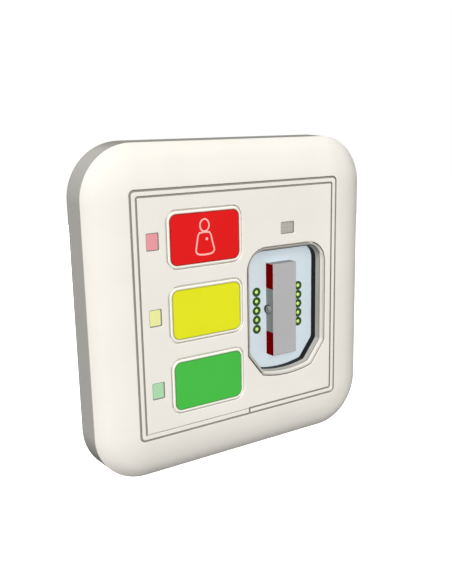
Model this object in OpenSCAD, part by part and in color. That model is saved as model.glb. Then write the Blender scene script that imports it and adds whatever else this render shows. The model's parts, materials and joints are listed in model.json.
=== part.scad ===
// Radio call unit: a square wall unit with three call keys, signal lamps and a pull-off plug socket.
// X runs to the right, Z up and Y into the wall. The origin is the middle of the back, on the wall.
// Each piece is drawn lying on its back, with its height above the wall along z, and is then stood up.

/* [Surround frame] */
// Side of the square frame where it meets the wall
frame_side = 86; // [85.6:0.2:90]
// Plan corner radius of the frame at the wall
frame_corner = 13.95; // [13.5:0.05:14.4]
// How far each side wall leans in from the wall up to the crease
wall_lean = 0.4; // [0.2:0.1:0.6]
// Height of the front panel's face above the wall
face_height = 10.8; // [10.8:0.1:12]
// Drop of the crease below the face
crease_drop = 3.5; // [3.2:0.1:3.8]
// Radius of the shallow crown next to the rim
crown_radius = 36; // [34:1:40]
// Radius of the tighter shoulder next to the crease
shoulder_radius = 9; // [8.6:0.1:9.6]
// Wall thickness of the frame
frame_wall = 1.8; // [1.6:0.1:2]
// Thickness of the collar round the frame's square opening
frame_collar = 1.4; // [1.2:0.1:1.6]
// Width of the ledge that the rim ring clamps
ledge_width = 1.2; // [1:0.1:1.4]
// Thickness of that ledge
ledge_thickness = 1.2; // [1:0.1:1.4]
// Thickness of the ribs inside the frame
frame_rib = 1.2; // [1:0.1:1.6]

/* [Rim ring] */
// Width of the rim between the panel and the frame, seams included
rim_width = 1.5; // [1.4:0.1:1.6]
// Visible seam between neighbouring front pieces
seam = 0.3; // [0.3:0.05:0.4]
// Depth of the ring's upright wall
ring_depth = 3.4; // [3.2:0.1:3.6]
// Width of the inner shelf that carries the panel
shelf_width = 1.5; // [1.3:0.1:1.6]
// Thickness of that shelf
shelf_thickness = 2; // [1.8:0.1:2.2]
// Width of each snap tab under the ring
tab_width = 5; // [4:0.5:6]
// Thickness of each snap tab
tab_thickness = 1.2; // [1:0.1:1.3]
// Reach of each snap tab below the shelf
tab_reach = 3.2; // [3:0.1:3.4]
// How far each barb stands out of its tab
barb_reach = 0.9; // [0.7:0.1:1]
// Height of each barb
barb_height = 1.2; // [1:0.1:1.4]
// Distance of the tabs from the middle of a side
tab_offset = 20; // [18:0.5:22]

/* [Front panel] */
// Side of the square front panel, out to the middle of its seam
panel_side = 60; // [60:0.1:60.4]
// Thickness of the front panel
panel_thickness = 1.6; // [1.5:0.1:1.7]
// Small corner radius of panel and rim
panel_corner = 0.4; // [0.3:0.1:0.6]
// Panel left beside the signal windows on the left and beside the socket on the right
panel_margin = 2.2; // [2.1:0.05:2.3]
// Thickness of the panel's skirt
skirt_wall = 1.1; // [1:0.05:1.1]
// Drop of the skirt under the panel
skirt_drop = 1; // [0.9:0.1:1.1]
// How far the snap bumps stand out of the skirt
bump_reach = 0.5; // [0.4:0.05:0.6]
// Length of each snap bump
bump_length = 6; // [5:0.5:8]
// Right-hand end of the pry lip, measured from the panel's middle
lip_end = 1.3; // [1:0.1:1.6]
// Width of the crease between panel and pry lip
lip_crease = 0.25; // [0.15:0.05:0.25]
// Thickness of the stiffening ribs under the panel
panel_rib = 1; // [0.8:0.1:1.2]
// Drop of those ribs
panel_rib_drop = 0.8; // [0.6:0.1:0.9]

/* [Call keys] */
// Panel left between a signal window and its key, which fills the room up to the socket
window_gap = 1.95; // [1.8:0.05:2.2]
// Panel left between the keys and the socket
key_gap = 1.55; // [1.5:0.05:1.8]
// Height of a key opening
key_opening_height = 14.9; // [14.7:0.1:15.1]
// Corner radius of a key opening
key_opening_corner = 2.9; // [2.6:0.1:3.1]
// Distance from one key to the next
key_pitch = 19; // [19:0.1:19.3]
// How far a key stands proud of the panel
key_proud = 0.2; // [0.1:0.05:0.4]
// Travel of a key
key_travel = 0.8; // [0.6:0.1:0.8]
// Pale border of the key round its coloured field
key_border = 0.85; // [0.8:0.05:1.1]
// Rounding of the key's upper edge
key_edge = 0.35; // [0.2:0.05:0.4]
// Thickness of the coloured field
field_thickness = 0.6; // [0.5:0.05:0.7]
// Rounding of the coloured field's upper edge
field_edge = 0.15; // [0.1:0.05:0.3]
// Wall of the key under its roof
key_wall = 1.2; // [1:0.1:1.4]
// Roof of the key under its coloured field
key_roof = 0.9; // [0.8:0.1:1]
// How far the retaining flange stands out of the key
key_flange = 0.9; // [0.8:0.05:0.9]
// Thickness of the retaining flange
flange_thickness = 0.8; // [0.7:0.1:0.8]
// Height of the ribs under the key's roof
key_rib = 0.3; // [0.2:0.1:0.3]

/* [Key switches] */
// Side of the square switch body
switch_side = 6; // [5.5:0.5:6.5]
// Height of the switch body above the board
switch_height = 2.2; // [2:0.1:2.2]
// Radius of the switch's plunger
stem_radius = 1.5; // [1.2:0.1:1.7]
// Free play round the plunger
stem_play = 0.1; // [0.05:0.05:0.2]
// Length of the plunger
stem_length = 2.5; // [2.3:0.1:2.6]

/* [Signal windows] */
// Width of a lamp window
window_width = 3.4; // [3:0.1:3.6]
// Height of a lamp window
window_height = 4.35; // [4:0.05:4.6]
// Width of the grey sensor window
sensor_window_width = 4.4; // [4:0.1:4.8]
// Height of the grey sensor window
sensor_window_height = 3.25; // [3:0.05:3.6]
// Panel left between the socket and the sensor window above it
sensor_gap = 3.1; // [2.9:0.1:3.6]
// Width of the groove round each window
window_groove = 0.25; // [0.2:0.05:0.3]
// Depth of that groove
window_groove_depth = 0.3; // [0.2:0.05:0.4]
// Depth of a light guide behind its window
guide_depth = 3.4; // [3.2:0.1:3.5]
// How far a light guide's foot stands out above and below
guide_foot = 0.8; // [0.6:0.1:1]
// Thickness of that foot
guide_foot_thickness = 0.6; // [0.5:0.1:0.8]
// Radius of the lamp's lens
lens_radius = 1; // [0.8:0.1:1.2]
// Height of a lamp above the board
lamp_height = 1.2; // [1:0.1:1.2]

/* [Plug socket] */
// Width of the shield-shaped socket opening at the face
socket_width = 26.4; // [26:0.1:26.5]
// Height of the socket opening at the face
socket_height = 36.7; // [36.4:0.1:36.8]
// Panel left below the socket opening
socket_below = 7.4; // [7.2:0.05:7.6]
// Radius of the socket's two upper corners
socket_corner = 5; // [4.5:0.1:5.5]
// Direction that the lower slanting sides face, below the horizontal
slant_turn = 37.1; // [35:0.5:39]
// How far those sides cut into the square lower corners
slant_cut = 4.5; // [4.3:0.1:4.8]
// Radius of the bowed lower edge
bow_radius = 31.25; // [28:0.25:36]
// Width of the bevel round the opening
bevel_width = 1.1; // [1:0.05:1.2]
// Depth of the bevel
bevel_depth = 0.95; // [0.9:0.05:1]
// Flat land between the seam and the bevel
bevel_land = 0.2; // [0.1:0.05:0.3]
// How far the bezel's flange reaches out under the panel
bezel_flange = 0.6; // [0.5:0.05:0.6]
// Thickness of that flange
bezel_flange_thickness = 0.7; // [0.6:0.05:0.7]
// Depth of the bezel's collar round the socket
collar_depth = 2.8; // [2.7:0.1:2.9]
// Wall of that collar
collar_wall = 1; // [0.9:0.05:1]
// Depth of the contact floor behind the face
socket_depth = 4.7; // [4.6:0.05:4.75]
// Wall of the black tub
tub_wall = 1; // [0.9:0.05:1]
// Thickness of the tub's floor
tub_floor = 1; // [0.8:0.1:1.1]
// Thickness of the contact board
contact_board_thickness = 1; // [0.9:0.1:1.1]

/* [Contacts] */
// Contacts in each column
contact_count = 5; // [3:1:5]
// Distance from one contact to the next
contact_pitch = 2.65; // [2.54:0.01:2.7]
// Distance of each column from the socket's middle
contact_offset = 7.2; // [7:0.1:7.5]
// Outer radius of a contact's ring
ring_outer_radius = 1.2; // [1.1:0.05:1.25]
// Outer radius of a contact's core
core_radius = 0.6; // [0.5:0.05:0.7]
// Rise of a ring above the floor
ring_rise = 0.12; // [0.1:0.02:0.2]
// Rise of a core above the floor
core_rise = 0.2; // [0.16:0.02:0.3]

/* [Magnet bar] */
// Width of the bar
bar_width = 8; // [7.6:0.1:8.2]
// Length of the bar
bar_length = 25.9; // [25:0.1:26.4]
// Rise of the bar above the contact floor
bar_rise = 3.3; // [3.2:0.1:3.5]
// Thickness of the pole plate on the bar's front
pole_thickness = 0.4; // [0.3:0.05:0.5]
// Corner radius of the bar
bar_corner = 0.3; // [0.2:0.05:0.4]
// Length of each side magnet
magnet_length = 6.7; // [6:0.1:7]
// Depth of each side magnet into the bar
magnet_depth = 2.4; // [2:0.1:2.8]
// Wall left at the bar's ends
bar_end_wall = 0.3; // [0.3:0.05:0.5]
// Radius of the coding stud on the bar's left side
stud_radius = 1.1; // [0.9:0.05:1.1]
// How far the coding stud stands out
stud_reach = 0.6; // [0.4:0.05:0.8]

/* [Boards and cells] */
// Side of the main board
board_side = 56.4; // [56:0.1:56.6]
// Depth of the main board's top behind the face
board_depth = 5; // [4.9:0.1:5]
// Thickness of the main board
board_thickness = 1; // [0.9:0.1:1.1]
// Width of the radio shield on the board
shield_width = 7.4; // [7:0.1:7.6]
// Height of the radio shield on the board
shield_height = 4.4; // [4:0.1:4.6]
// Distance of the board screws from the middle, each way
post_offset = 25.2; // [25:0.1:25.3]
// Radius of the board posts
post_radius = 2.5; // [2.3:0.1:2.6]
// Radius of the board screws' shanks
screw_radius = 0.9; // [0.8:0.05:1]
// Radius of the board screws' heads
screw_head_radius = 2.1; // [1.9:0.1:2.3]
// Height of the board screws' heads
screw_head_height = 1.2; // [1:0.1:1.4]
// Radius of a button cell
cell_radius = 10; // [9.8:0.1:10]
// Thickness of a button cell
cell_thickness = 3.2; // [3:0.1:3.2]
// Sideways place of the cells
cell_x = -13.5; // [-14:0.1:-13]
// Height of each cell's middle above or below the unit's middle
cell_z = 12.5; // [12:0.1:13]
// Thickness of a cell's spring strip
strip_thickness = 0.3; // [0.25:0.05:0.3]
// Length of a cell's spring strip
strip_length = 12; // [10:0.5:14]
// Width of a cell's spring strip
strip_width = 3.6; // [3:0.1:4]

/* [Base plate] */
// Thickness of the base plate
base_thickness = 1.8; // [1.7:0.1:1.9]
// Floor left under each cell
cell_floor = 1; // [0.9:0.1:1]
// Wall of the square well on the base plate
well_wall = 1.2; // [1.1:0.1:1.3]
// Width and height of the low rim round the base plate
base_rim = 0.9; // [0.7:0.1:1]
// Distance between opposite wall screws
wall_screw_spacing = 60; // [60:0.1:60.4]
// Radius of the slots for the wall screws
slot_radius = 2; // [1.8:0.1:2.2]
// End-to-end length of each slot
slot_length = 7; // [6:0.5:8]
// Width of the gaps left in the well for the wall screws
well_gap = 13; // [11:0.5:14]

/* [Hidden] */
$fn = 96;
over = face_height / 20;
side_names = [-1, 1];
blend_share = 1.0003;

// Surround frame, worked out
crease_height = face_height - crease_drop;
crease_reach = frame_corner - wall_lean;
corner_centre = frame_side / 2 - frame_corner;
rim_reach = panel_side / 2 + rim_width - corner_centre;
crown_centre = face_height - sqrt(crown_radius * crown_radius - rim_reach * rim_reach);
crown_arm = crown_radius - shoulder_radius;
crease_rise = crease_height - crown_centre;
crease_span = sqrt(crease_reach * crease_reach + crease_rise * crease_rise);
blend_cosine = (crease_span * crease_span + crown_arm * crown_arm - shoulder_radius * shoulder_radius)
    / (2 * crease_span * crown_arm);
blend_angle = atan2(crease_reach, crease_rise) - acos(blend_cosine);
shoulder_x = crown_arm * sin(blend_angle);
shoulder_height = crown_centre + crown_arm * cos(blend_angle);

// Heights above the wall, worked out
panel_under = face_height - panel_thickness;
skirt_low = panel_under - skirt_drop;
ring_low = face_height - ring_depth;
well_top = ring_low - ledge_thickness;
shelf_low = skirt_low - shelf_thickness;
tab_low = shelf_low - tab_reach;
key_top = face_height + key_proud;
field_low = key_top - field_thickness;
roof_low = field_low - key_roof;
flange_low = panel_under - flange_thickness;
board_top = face_height - board_depth;
board_low = board_top - board_thickness;
guide_low = face_height - guide_depth;
tub_top = face_height - collar_depth;
floor_height = face_height - socket_depth;
contact_board_low = floor_height - contact_board_thickness;
tub_low = contact_board_low - tub_floor;
bevel_low = face_height - bevel_depth;
bevel_run = bevel_width - bevel_land - seam / 2;
bar_top = floor_height + bar_rise;
pole_low = bar_top - pole_thickness;
cell_top = cell_floor + cell_thickness;
base_rim_top = base_thickness + base_rim;
frame_rib_low = base_rim_top + seam;

// Places on the panel, worked out from its edges inwards
socket_x = panel_side / 2 - panel_margin - socket_width / 2;
socket_z = socket_below + socket_height / 2 - panel_side / 2;
slant_reach = cos(slant_turn) * socket_width / 2 + sin(slant_turn) * socket_height / 2 - slant_cut;
window_x = panel_margin + window_width / 2 - panel_side / 2;
key_left = window_x + window_width / 2 + window_gap;
key_right = socket_x - socket_width / 2 - key_gap;
key_opening_width = key_right - key_left;
key_x = (key_left + key_right) / 2;
sensor_x = socket_x;
sensor_z = socket_z + socket_height / 2 + sensor_gap + sensor_window_height / 2;

// Plan sizes, worked out
rim_outer = panel_side + 2 * rim_width - seam;
rim_inner = panel_side + seam;
rim_opening = panel_side + 2 * rim_width + seam;
panel_outer = panel_side - seam;
shelf_inner = rim_inner - 2 * shelf_width;
collar_outer = rim_opening + 2 * frame_collar;
ledge_opening = rim_opening - 2 * ledge_width;
well_outer = rim_outer - seam / 3;
well_inner = well_outer - 2 * well_wall;
tab_outer = well_inner / 2 - seam;
base_side = frame_side - 2 * frame_wall - 2 * wall_lean;
base_corner = frame_corner - frame_wall - wall_lean;
key_width = key_opening_width - 2 * seam;
key_height = key_opening_height - 2 * seam;
key_corner = key_opening_corner - seam;
field_width = key_width - 2 * key_border;
field_height = key_height - 2 * key_border;
field_corner = key_corner - key_border;
hollow_width = key_width - 2 * key_wall;
hollow_height = key_height - 2 * key_wall;
stem_low = roof_low - stem_length;
bore_low = stem_low - key_travel - stem_play;
magnet_middle = bar_length / 2 - bar_end_wall - magnet_length / 2;
stud_height = floor_height + stud_radius + ring_rise;
key_rows = [1, 0, -1];
part_colour = [0.94, 0.92, 0.87];
inner_colour = [0.86, 0.86, 0.84];
white_colour = [0.96, 0.96, 0.94];
red_colour = [0.87, 0.14, 0.12];
yellow_colour = [0.9, 0.9, 0.15];
green_colour = [0.28, 0.75, 0.3];
grey_colour = [0.7, 0.7, 0.7];
steel_colour = [0.76, 0.77, 0.79];
magnet_colour = [0.4, 0, 0.05];
black_colour = [0.12, 0.13, 0.13];
floor_colour = [0.83, 0.87, 0.89];
board_colour = [0.1, 0.36, 0.2];

// Shared shapes

module stand() {
    rotate([90, 0, 0])
        children();
}

module rounded(size_x, size_y, radius) {
    square([size_x - 2 * radius, size_y], center = true);
    square([size_x, size_y - 2 * radius], center = true);
    for (side = side_names, end = side_names)
        translate([side * (size_x / 2 - radius), end * (size_y / 2 - radius)])
            circle(r = radius);
}

module slab(size_x, size_y, radius, low, high) {
    translate([0, 0, low])
        linear_extrude(height = high - low)
            rounded(size_x, size_y, radius);
}

module block(low, high, x_range, y_range) {
    translate([x_range[0], y_range[0], low])
        cube([x_range[1] - x_range[0], y_range[1] - y_range[0], high - low]);
}

// Slab with a rounded upper edge: its profile is swept round the corners and along the sides

module soft_profile(radius, low, high, edge) {
    translate([0, low])
        square([radius, high - low - edge]);
    translate([0, low])
        square([radius - edge, high - low]);
    translate([radius - edge, high - edge])
        circle(r = edge);
}

module soft_slab(size_x, size_y, radius, low, high, edge) {
    middle_x = size_x / 2 - radius;
    middle_y = size_y / 2 - radius;
    block(low, high, [-middle_x, middle_x], [-middle_y, middle_y]);
    for (turn = [0 : 90 : 270]) {
        across = turn % 180 == 0 ? middle_x : middle_y;
        along = turn % 180 == 0 ? middle_y : middle_x;
        rotate([0, 0, turn])
            translate([across, along, 0]) {
                rotate_extrude(angle = 90)
                    soft_profile(radius, low, high, edge);
                rotate([90, 0, 0])
                    linear_extrude(height = 2 * along)
                        soft_profile(radius, low, high, edge);
            }
    }
}

module rod(radius, low, high) {
    translate([0, 0, low])
        cylinder(r = radius, h = high - low);
}

// Socket outline, drawn smaller all round by the inset

module shield(inset) {
    intersection() {
        union() {
            translate([-socket_width / 2 + inset, -socket_height / 2 + inset])
                square([socket_width - 2 * inset, socket_height - socket_corner - inset]);
            translate([-socket_width / 2 + socket_corner, -socket_height / 2 + inset])
                square([socket_width - 2 * socket_corner, socket_height - 2 * inset]);
            for (side = side_names)
                translate([side * (socket_width / 2 - socket_corner), socket_height / 2 - socket_corner])
                    circle(r = socket_corner - inset);
        }
        for_slants(inset);
        translate([0, bow_radius - socket_height / 2])
            circle(r = bow_radius - inset);
    }
}

module for_slants(inset) {
    intersection() {
        rotate(-slant_turn)
            translate([-socket_height, -socket_height])
                square([socket_height + slant_reach - inset, 2 * socket_height]);
        rotate(180 + slant_turn)
            translate([-socket_height, -socket_height])
                square([socket_height + slant_reach - inset, 2 * socket_height]);
    }
}

module shield_prism(inset, low, high) {
    translate([socket_x, socket_z, low])
        linear_extrude(height = high - low)
            shield(inset);
}

// Half space with one leaning side, for the bevel round the socket

module lean(turn, reach) {
    rise = bevel_depth + over;
    foot = reach - bevel_width;
    brow = foot + bevel_run * rise / bevel_depth;
    rotate([0, 0, turn])
        rotate([90, 0, 0])
            linear_extrude(height = 2 * socket_height, center = true)
                polygon([[-socket_height, bevel_low], [foot, bevel_low],
                    [brow, bevel_low + rise], [-socket_height, bevel_low + rise]]);
}

module bevel_cone(radius) {
    rise = bevel_depth + over;
    translate([0, 0, bevel_low])
        cylinder(r1 = radius - bevel_width, r2 = radius - bevel_width + bevel_run * rise / bevel_depth, h = rise);
}

module bevel_cutter() {
    straight = socket_height / 2 - socket_corner;
    middle = socket_width / 2 - socket_corner;
    translate([socket_x, socket_z, 0])
        intersection() {
            union() {
                intersection() {
                    union() {
                        block(bevel_low, face_height + over, [-socket_height, socket_height],
                            [-socket_height, straight]);
                        block(bevel_low, face_height + over, [-middle, middle], [-socket_height, socket_height]);
                    }
                    lean(0, socket_width / 2);
                    lean(180, socket_width / 2);
                    lean(90, socket_height / 2);
                }
                for (side = side_names)
                    translate([side * middle, straight, 0])
                        bevel_cone(socket_corner);
            }
            lean(-slant_turn, slant_reach);
            lean(180 + slant_turn, slant_reach);
            translate([0, bow_radius - socket_height / 2, 0])
                bevel_cone(bow_radius);
        }
}

// Surround frame: a lean side wall, a tight shoulder arc and a shallow crown arc

module frame_profile(inset) {
    split = (crown_radius - inset) * sin(blend_angle);
    intersection() {
        polygon([[0, -over * (inset > 0 ? 1 : 0)], [frame_corner - inset, -over * (inset > 0 ? 1 : 0)],
            [crease_reach - inset, crease_height],
            [crease_reach - inset - wall_lean * crease_drop / crease_height, face_height], [0, face_height]]);
        translate([0, crown_centre])
            circle(r = crown_radius - inset);
        union() {
            translate([shoulder_x, shoulder_height])
                circle(r = (shoulder_radius - inset) * blend_share);
            translate([-over, -face_height])
                square([split + over, 2 * face_height]);
        }
    }
}

module frame_body(inset) {
    for (turn = [0 : 90 : 270])
        rotate([0, 0, turn])
            translate([corner_centre, corner_centre, 0]) {
                rotate_extrude(angle = 90)
                    frame_profile(inset);
                rotate([90, 0, 0])
                    linear_extrude(height = 2 * corner_centre)
                        frame_profile(inset);
            }
}

module frame_ribs() {
    intersection() {
        frame_body(frame_wall / 2);
        for (turn = [0 : 90 : 270], place = [-tab_offset, 0, tab_offset])
            rotate([0, 0, turn])
                block(frame_rib_low, face_height, [place - frame_rib / 2, place + frame_rib / 2],
                    [collar_outer / 2 - over, frame_side / 2]);
    }
}

module surround_frame() {
    color(part_colour)
        stand()
            difference() {
                union() {
                    difference() {
                        frame_body(0);
                        difference() {
                            frame_body(frame_wall);
                            slab(collar_outer, collar_outer, frame_collar, well_top, face_height + over);
                        }
                    }
                    frame_ribs();
                }
                slab(rim_opening, rim_opening, panel_corner + 3 * seam, ring_low, face_height + over);
                slab(ledge_opening, ledge_opening, panel_corner + 2 * seam, -over, face_height);
            }
}

// Rim ring with its shelf, snap tabs and the notch for the pry lip

module ring_tab() {
    low = tab_low;
    translate([-tab_width / 2, 0, 0])
        rotate([90, 0, 90])
            linear_extrude(height = tab_width)
                polygon([[tab_outer - tab_thickness, shelf_low + over], [tab_outer - tab_thickness, low],
                    [tab_outer, low], [tab_outer + barb_reach, low + barb_height],
                    [tab_outer + barb_reach, low + barb_height + seam], [tab_outer, low + barb_height + seam],
                    [tab_outer, shelf_low + over]]);
}

module rim_ring() {
    bump_middle = (skirt_low + panel_under) / 2;
    color(part_colour)
        stand()
            difference() {
                union() {
                    slab(rim_outer, rim_outer, panel_corner + 2 * seam, ring_low, face_height);
                    slab(rim_inner, rim_inner, panel_corner + seam, shelf_low, skirt_low);
                    for (turn = [0, 180], place = [-tab_offset, tab_offset])
                        rotate([0, 0, turn])
                            translate([place, 0, 0])
                                ring_tab();
                }
                slab(rim_inner, rim_inner, panel_corner + seam, skirt_low, face_height + over);
                slab(shelf_inner, shelf_inner, panel_corner, shelf_low - over, face_height);
                block(panel_under - seam, face_height + over, [-rim_inner / 2, lip_end + seam],
                    [-rim_outer / 2 - over, -rim_inner / 2 + over]);
                for (turn = [0, 180], place = [-tab_offset, tab_offset])
                    rotate([0, 0, turn])
                        block(bump_middle - skirt_drop / 2, bump_middle + skirt_drop / 2,
                            [place - bump_length / 2 - seam, place + bump_length / 2 + seam],
                            [rim_inner / 2 - over, rim_inner / 2 + bump_reach]);
            }
}

// Front panel with its openings, skirt, socket collar, ribs, snap bumps and pry lip

module key_opening(row) {
    translate([key_x, row * key_pitch, 0])
        slab(key_opening_width, key_opening_height, key_opening_corner, skirt_low - over, face_height + over);
}

module panel_ribs() {
    low = panel_under - panel_rib_drop;
    for (row = side_names)
        block(low, panel_under, [-panel_outer / 2 + skirt_wall, socket_x - socket_width / 2 - bezel_flange - seam],
            [row * key_pitch / 2 - panel_rib / 2, row * key_pitch / 2 + panel_rib / 2]);
    block(low, panel_under, [socket_x - socket_width / 4 - panel_rib / 2, socket_x - socket_width / 4 + panel_rib / 2],
        [socket_z + socket_height / 2 + bezel_flange + seam, panel_outer / 2 - skirt_wall]);
    block(low, panel_under, [socket_x + socket_width / 4 - panel_rib / 2, socket_x + socket_width / 4 + panel_rib / 2],
        [socket_z + socket_height / 2 + bezel_flange + seam, panel_outer / 2 - skirt_wall]);
    block(low, panel_under, [socket_x - panel_rib / 2, socket_x + panel_rib / 2],
        [-panel_outer / 2 + skirt_wall, socket_z - socket_height / 2 - bezel_flange - seam]);
}

module snap_bump() {
    middle = (skirt_low + panel_under) / 2;
    translate([-bump_length / 2, 0, 0])
        rotate([90, 0, 90])
            linear_extrude(height = bump_length)
                polygon([[panel_outer / 2 - skirt_wall / 2, middle - skirt_drop / 3],
                    [panel_outer / 2, middle - skirt_drop / 3], [panel_outer / 2 + bump_reach, middle],
                    [panel_outer / 2, middle + skirt_drop / 3],
                    [panel_outer / 2 - skirt_wall / 2, middle + skirt_drop / 3]]);
}

module crease_groove() {
    side = lip_crease / sqrt(2);
    translate([-panel_side / 2, -panel_side / 2, face_height])
        rotate([45, 0, 0])
            translate([-over, -side / 2, -side / 2])
                cube([panel_side / 2 + lip_end + 2 * over, side, side]);
}

module front_panel() {
    color(part_colour)
        stand()
            difference() {
                union() {
                    slab(panel_outer, panel_outer, panel_corner, panel_under, face_height);
                    difference() {
                        slab(panel_outer, panel_outer, panel_corner, skirt_low, panel_under);
                        slab(panel_outer - 2 * skirt_wall, panel_outer - 2 * skirt_wall, panel_corner,
                            skirt_low - over, panel_under + over);
                    }
                    block(panel_under, face_height, [-panel_outer / 2, lip_end], [-rim_outer / 2, 0]);
                    block(panel_under, face_height, [-rim_inner / 2, 0], [-rim_outer / 2, -rim_inner / 2]);
                    panel_ribs();
                    for (turn = [0, 180], place = [-tab_offset, tab_offset])
                        rotate([0, 0, turn])
                            translate([place, 0, 0])
                                snap_bump();
                }
                for (row = key_rows) {
                    key_opening(row);
                    translate([window_x, row * key_pitch, 0])
                        slab(window_width, window_height, seam, tub_top, face_height + over);
                }
                translate([sensor_x, sensor_z, 0])
                    slab(sensor_window_width, sensor_window_height, seam, tub_top, face_height + over);
                shield_prism(-seam / 2, panel_under - over, face_height + over);
                crease_groove();
            }
}

// Bezel that lines the socket opening: bevel, collar and the flange that holds it under the panel

module socket_bezel() {
    color(part_colour)
        stand()
            difference() {
                union() {
                    shield_prism(seam / 2, tub_top + bezel_flange_thickness, face_height);
                    shield_prism(-bezel_flange, panel_under - bezel_flange_thickness, panel_under);
                    shield_prism(bevel_width - collar_wall, tub_top, panel_under);
                }
                shield_prism(bevel_width, tub_top - over, bevel_low + over);
                bevel_cutter();
            }
}

// Call keys

module key_cap(row) {
    color(white_colour)
        stand()
            translate([key_x, row * key_pitch, 0])
                difference() {
                    union() {
                        soft_slab(key_width, key_height, key_corner, flange_low, key_top, key_edge);
                        slab(key_width + 2 * key_flange, key_height + 2 * key_flange, key_corner + key_flange,
                            flange_low, panel_under);
                    }
                    difference() {
                        slab(hollow_width, hollow_height, key_corner - key_wall, flange_low - over, roof_low);
                        for (side = side_names)
                            block(roof_low - key_rib, key_top, [side * key_width / 4 - key_wall / 2,
                                side * key_width / 4 + key_wall / 2], [-key_height / 2, key_height / 2]);
                        for (turn = [0, 180])
                            rotate([0, 0, turn])
                                block(roof_low - key_rib, key_top, [switch_side / 2, key_width / 2],
                                    [-key_wall / 2, key_wall / 2]);
                    }
                    slab(field_width, field_height, field_corner, field_low, key_top + over);
                }
}

module key_field(row, colour) {
    color(colour)
        stand()
            translate([key_x, row * key_pitch, 0])
                soft_slab(field_width, field_height, field_corner, field_low, key_top, field_edge);
}

module switch_stem(row) {
    color(black_colour)
        stand()
            translate([key_x, row * key_pitch, 0])
                rod(stem_radius, stem_low, roof_low);
}

module switch_body(row) {
    lug = switch_side / 5;
    color(steel_colour)
        stand()
            translate([key_x, row * key_pitch, 0])
                difference() {
                    union() {
                        slab(switch_side, switch_side, switch_side / 12, board_top, board_top + switch_height);
                        for (side = side_names, end = side_names)
                            block(board_top, board_top + switch_height / 10,
                                [side * switch_side / 2 - lug / 2, side * switch_side / 2 + lug / 2],
                                [end * switch_side / 3 - lug / 3, end * switch_side / 3 + lug / 3]);
                    }
                    rod(stem_radius + stem_play, bore_low, board_top + switch_height + over);
                    for (side = side_names, end = side_names)
                        translate([side * switch_side / 3, end * switch_side / 3, 0])
                            rod(lug / 4, board_top + switch_height - lug / 4, board_top + switch_height + over);
                }
}

module red_key() {
    key_cap(key_rows[0]);
}

module yellow_key() {
    key_cap(key_rows[1]);
}

module green_key() {
    key_cap(key_rows[2]);
}

module red_key_field() {
    key_field(key_rows[0], red_colour);
}

module yellow_key_field() {
    key_field(key_rows[1], yellow_colour);
}

module green_key_field() {
    key_field(key_rows[2], green_colour);
}

module red_stem() {
    switch_stem(key_rows[0]);
}

module yellow_stem() {
    switch_stem(key_rows[1]);
}

module green_stem() {
    switch_stem(key_rows[2]);
}

module red_switch() {
    switch_body(key_rows[0]);
}

module yellow_switch() {
    switch_body(key_rows[1]);
}

module green_switch() {
    switch_body(key_rows[2]);
}

// Light guides behind the signal windows, and their lamps on the board

module light_guide(width, height, colour) {
    color(colour)
        difference() {
            union() {
                slab(width, height, seam, guide_low, face_height - window_groove_depth);
                slab(width - 2 * window_groove, height - 2 * window_groove, seam / 2, guide_low, face_height);
                slab(width, height + 2 * guide_foot, seam, panel_under - guide_foot_thickness, panel_under);
            }
            rod(lens_radius + seam, guide_low - over, guide_low + lens_radius / 2);
        }
}

module lamp(width, height, colour) {
    color(colour)
        difference() {
            union() {
                slab(width, height, seam, board_top, board_top + lamp_height - lens_radius / 3);
                intersection() {
                    translate([0, 0, board_top + lamp_height - lens_radius])
                        sphere(r = lens_radius);
                    block(board_top, board_top + lamp_height + over, [-width, width], [-height, height]);
                }
            }
            for (side = side_names)
                block(board_top - over, board_top + lamp_height / 4,
                    [-width / 5, width / 5], [side * height / 2 - width / 6, side * height / 2 + width / 6]);
        }
}

module signal_window(row, colour) {
    stand()
        translate([window_x, row * key_pitch, 0])
            light_guide(window_width, window_height, colour);
}

module signal_lamp(row, colour) {
    stand()
        translate([window_x, row * key_pitch, 0])
            lamp(window_width - 2 * seam, window_height - 2 * seam, colour);
}

module red_window() {
    signal_window(key_rows[0], [0.92, 0.61, 0.64]);
}

module yellow_window() {
    signal_window(key_rows[1], [0.91, 0.93, 0.62]);
}

module green_window() {
    signal_window(key_rows[2], [0.66, 0.85, 0.67]);
}

module sensor_window() {
    stand()
        translate([sensor_x, sensor_z, 0])
            light_guide(sensor_window_width, sensor_window_height, grey_colour);
}

module red_lamp() {
    signal_lamp(key_rows[0], red_colour);
}

module yellow_lamp() {
    signal_lamp(key_rows[1], yellow_colour);
}

module green_lamp() {
    signal_lamp(key_rows[2], green_colour);
}

module light_sensor() {
    stand()
        translate([sensor_x, sensor_z, 0])
            lamp(sensor_window_width - 2 * seam, sensor_window_height - 2 * seam, black_colour);
}

// Main board and what sits on it

module main_board() {
    edge = board_side / 2;
    color(board_colour)
        stand()
            difference() {
                slab(board_side, board_side, screw_radius, board_low, board_top);
                shield_prism(bevel_width - tub_wall - 2 * seam, board_low - over, board_top + over);
                block(board_low - over, board_top + over, [socket_x, edge + over],
                    [socket_z - socket_height / 2 + socket_corner, socket_z + socket_height / 2]);
                for (side = side_names, end = side_names)
                    translate([side * post_offset, end * post_offset, 0])
                        rod(screw_radius + seam, board_low - over, board_top + over);
                for (end = side_names)
                    translate([0, end * edge, 0])
                        slab(well_gap, 2 * seam + 2 * ledge_width, seam, board_low - over, board_top + over);
            }
}

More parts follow.
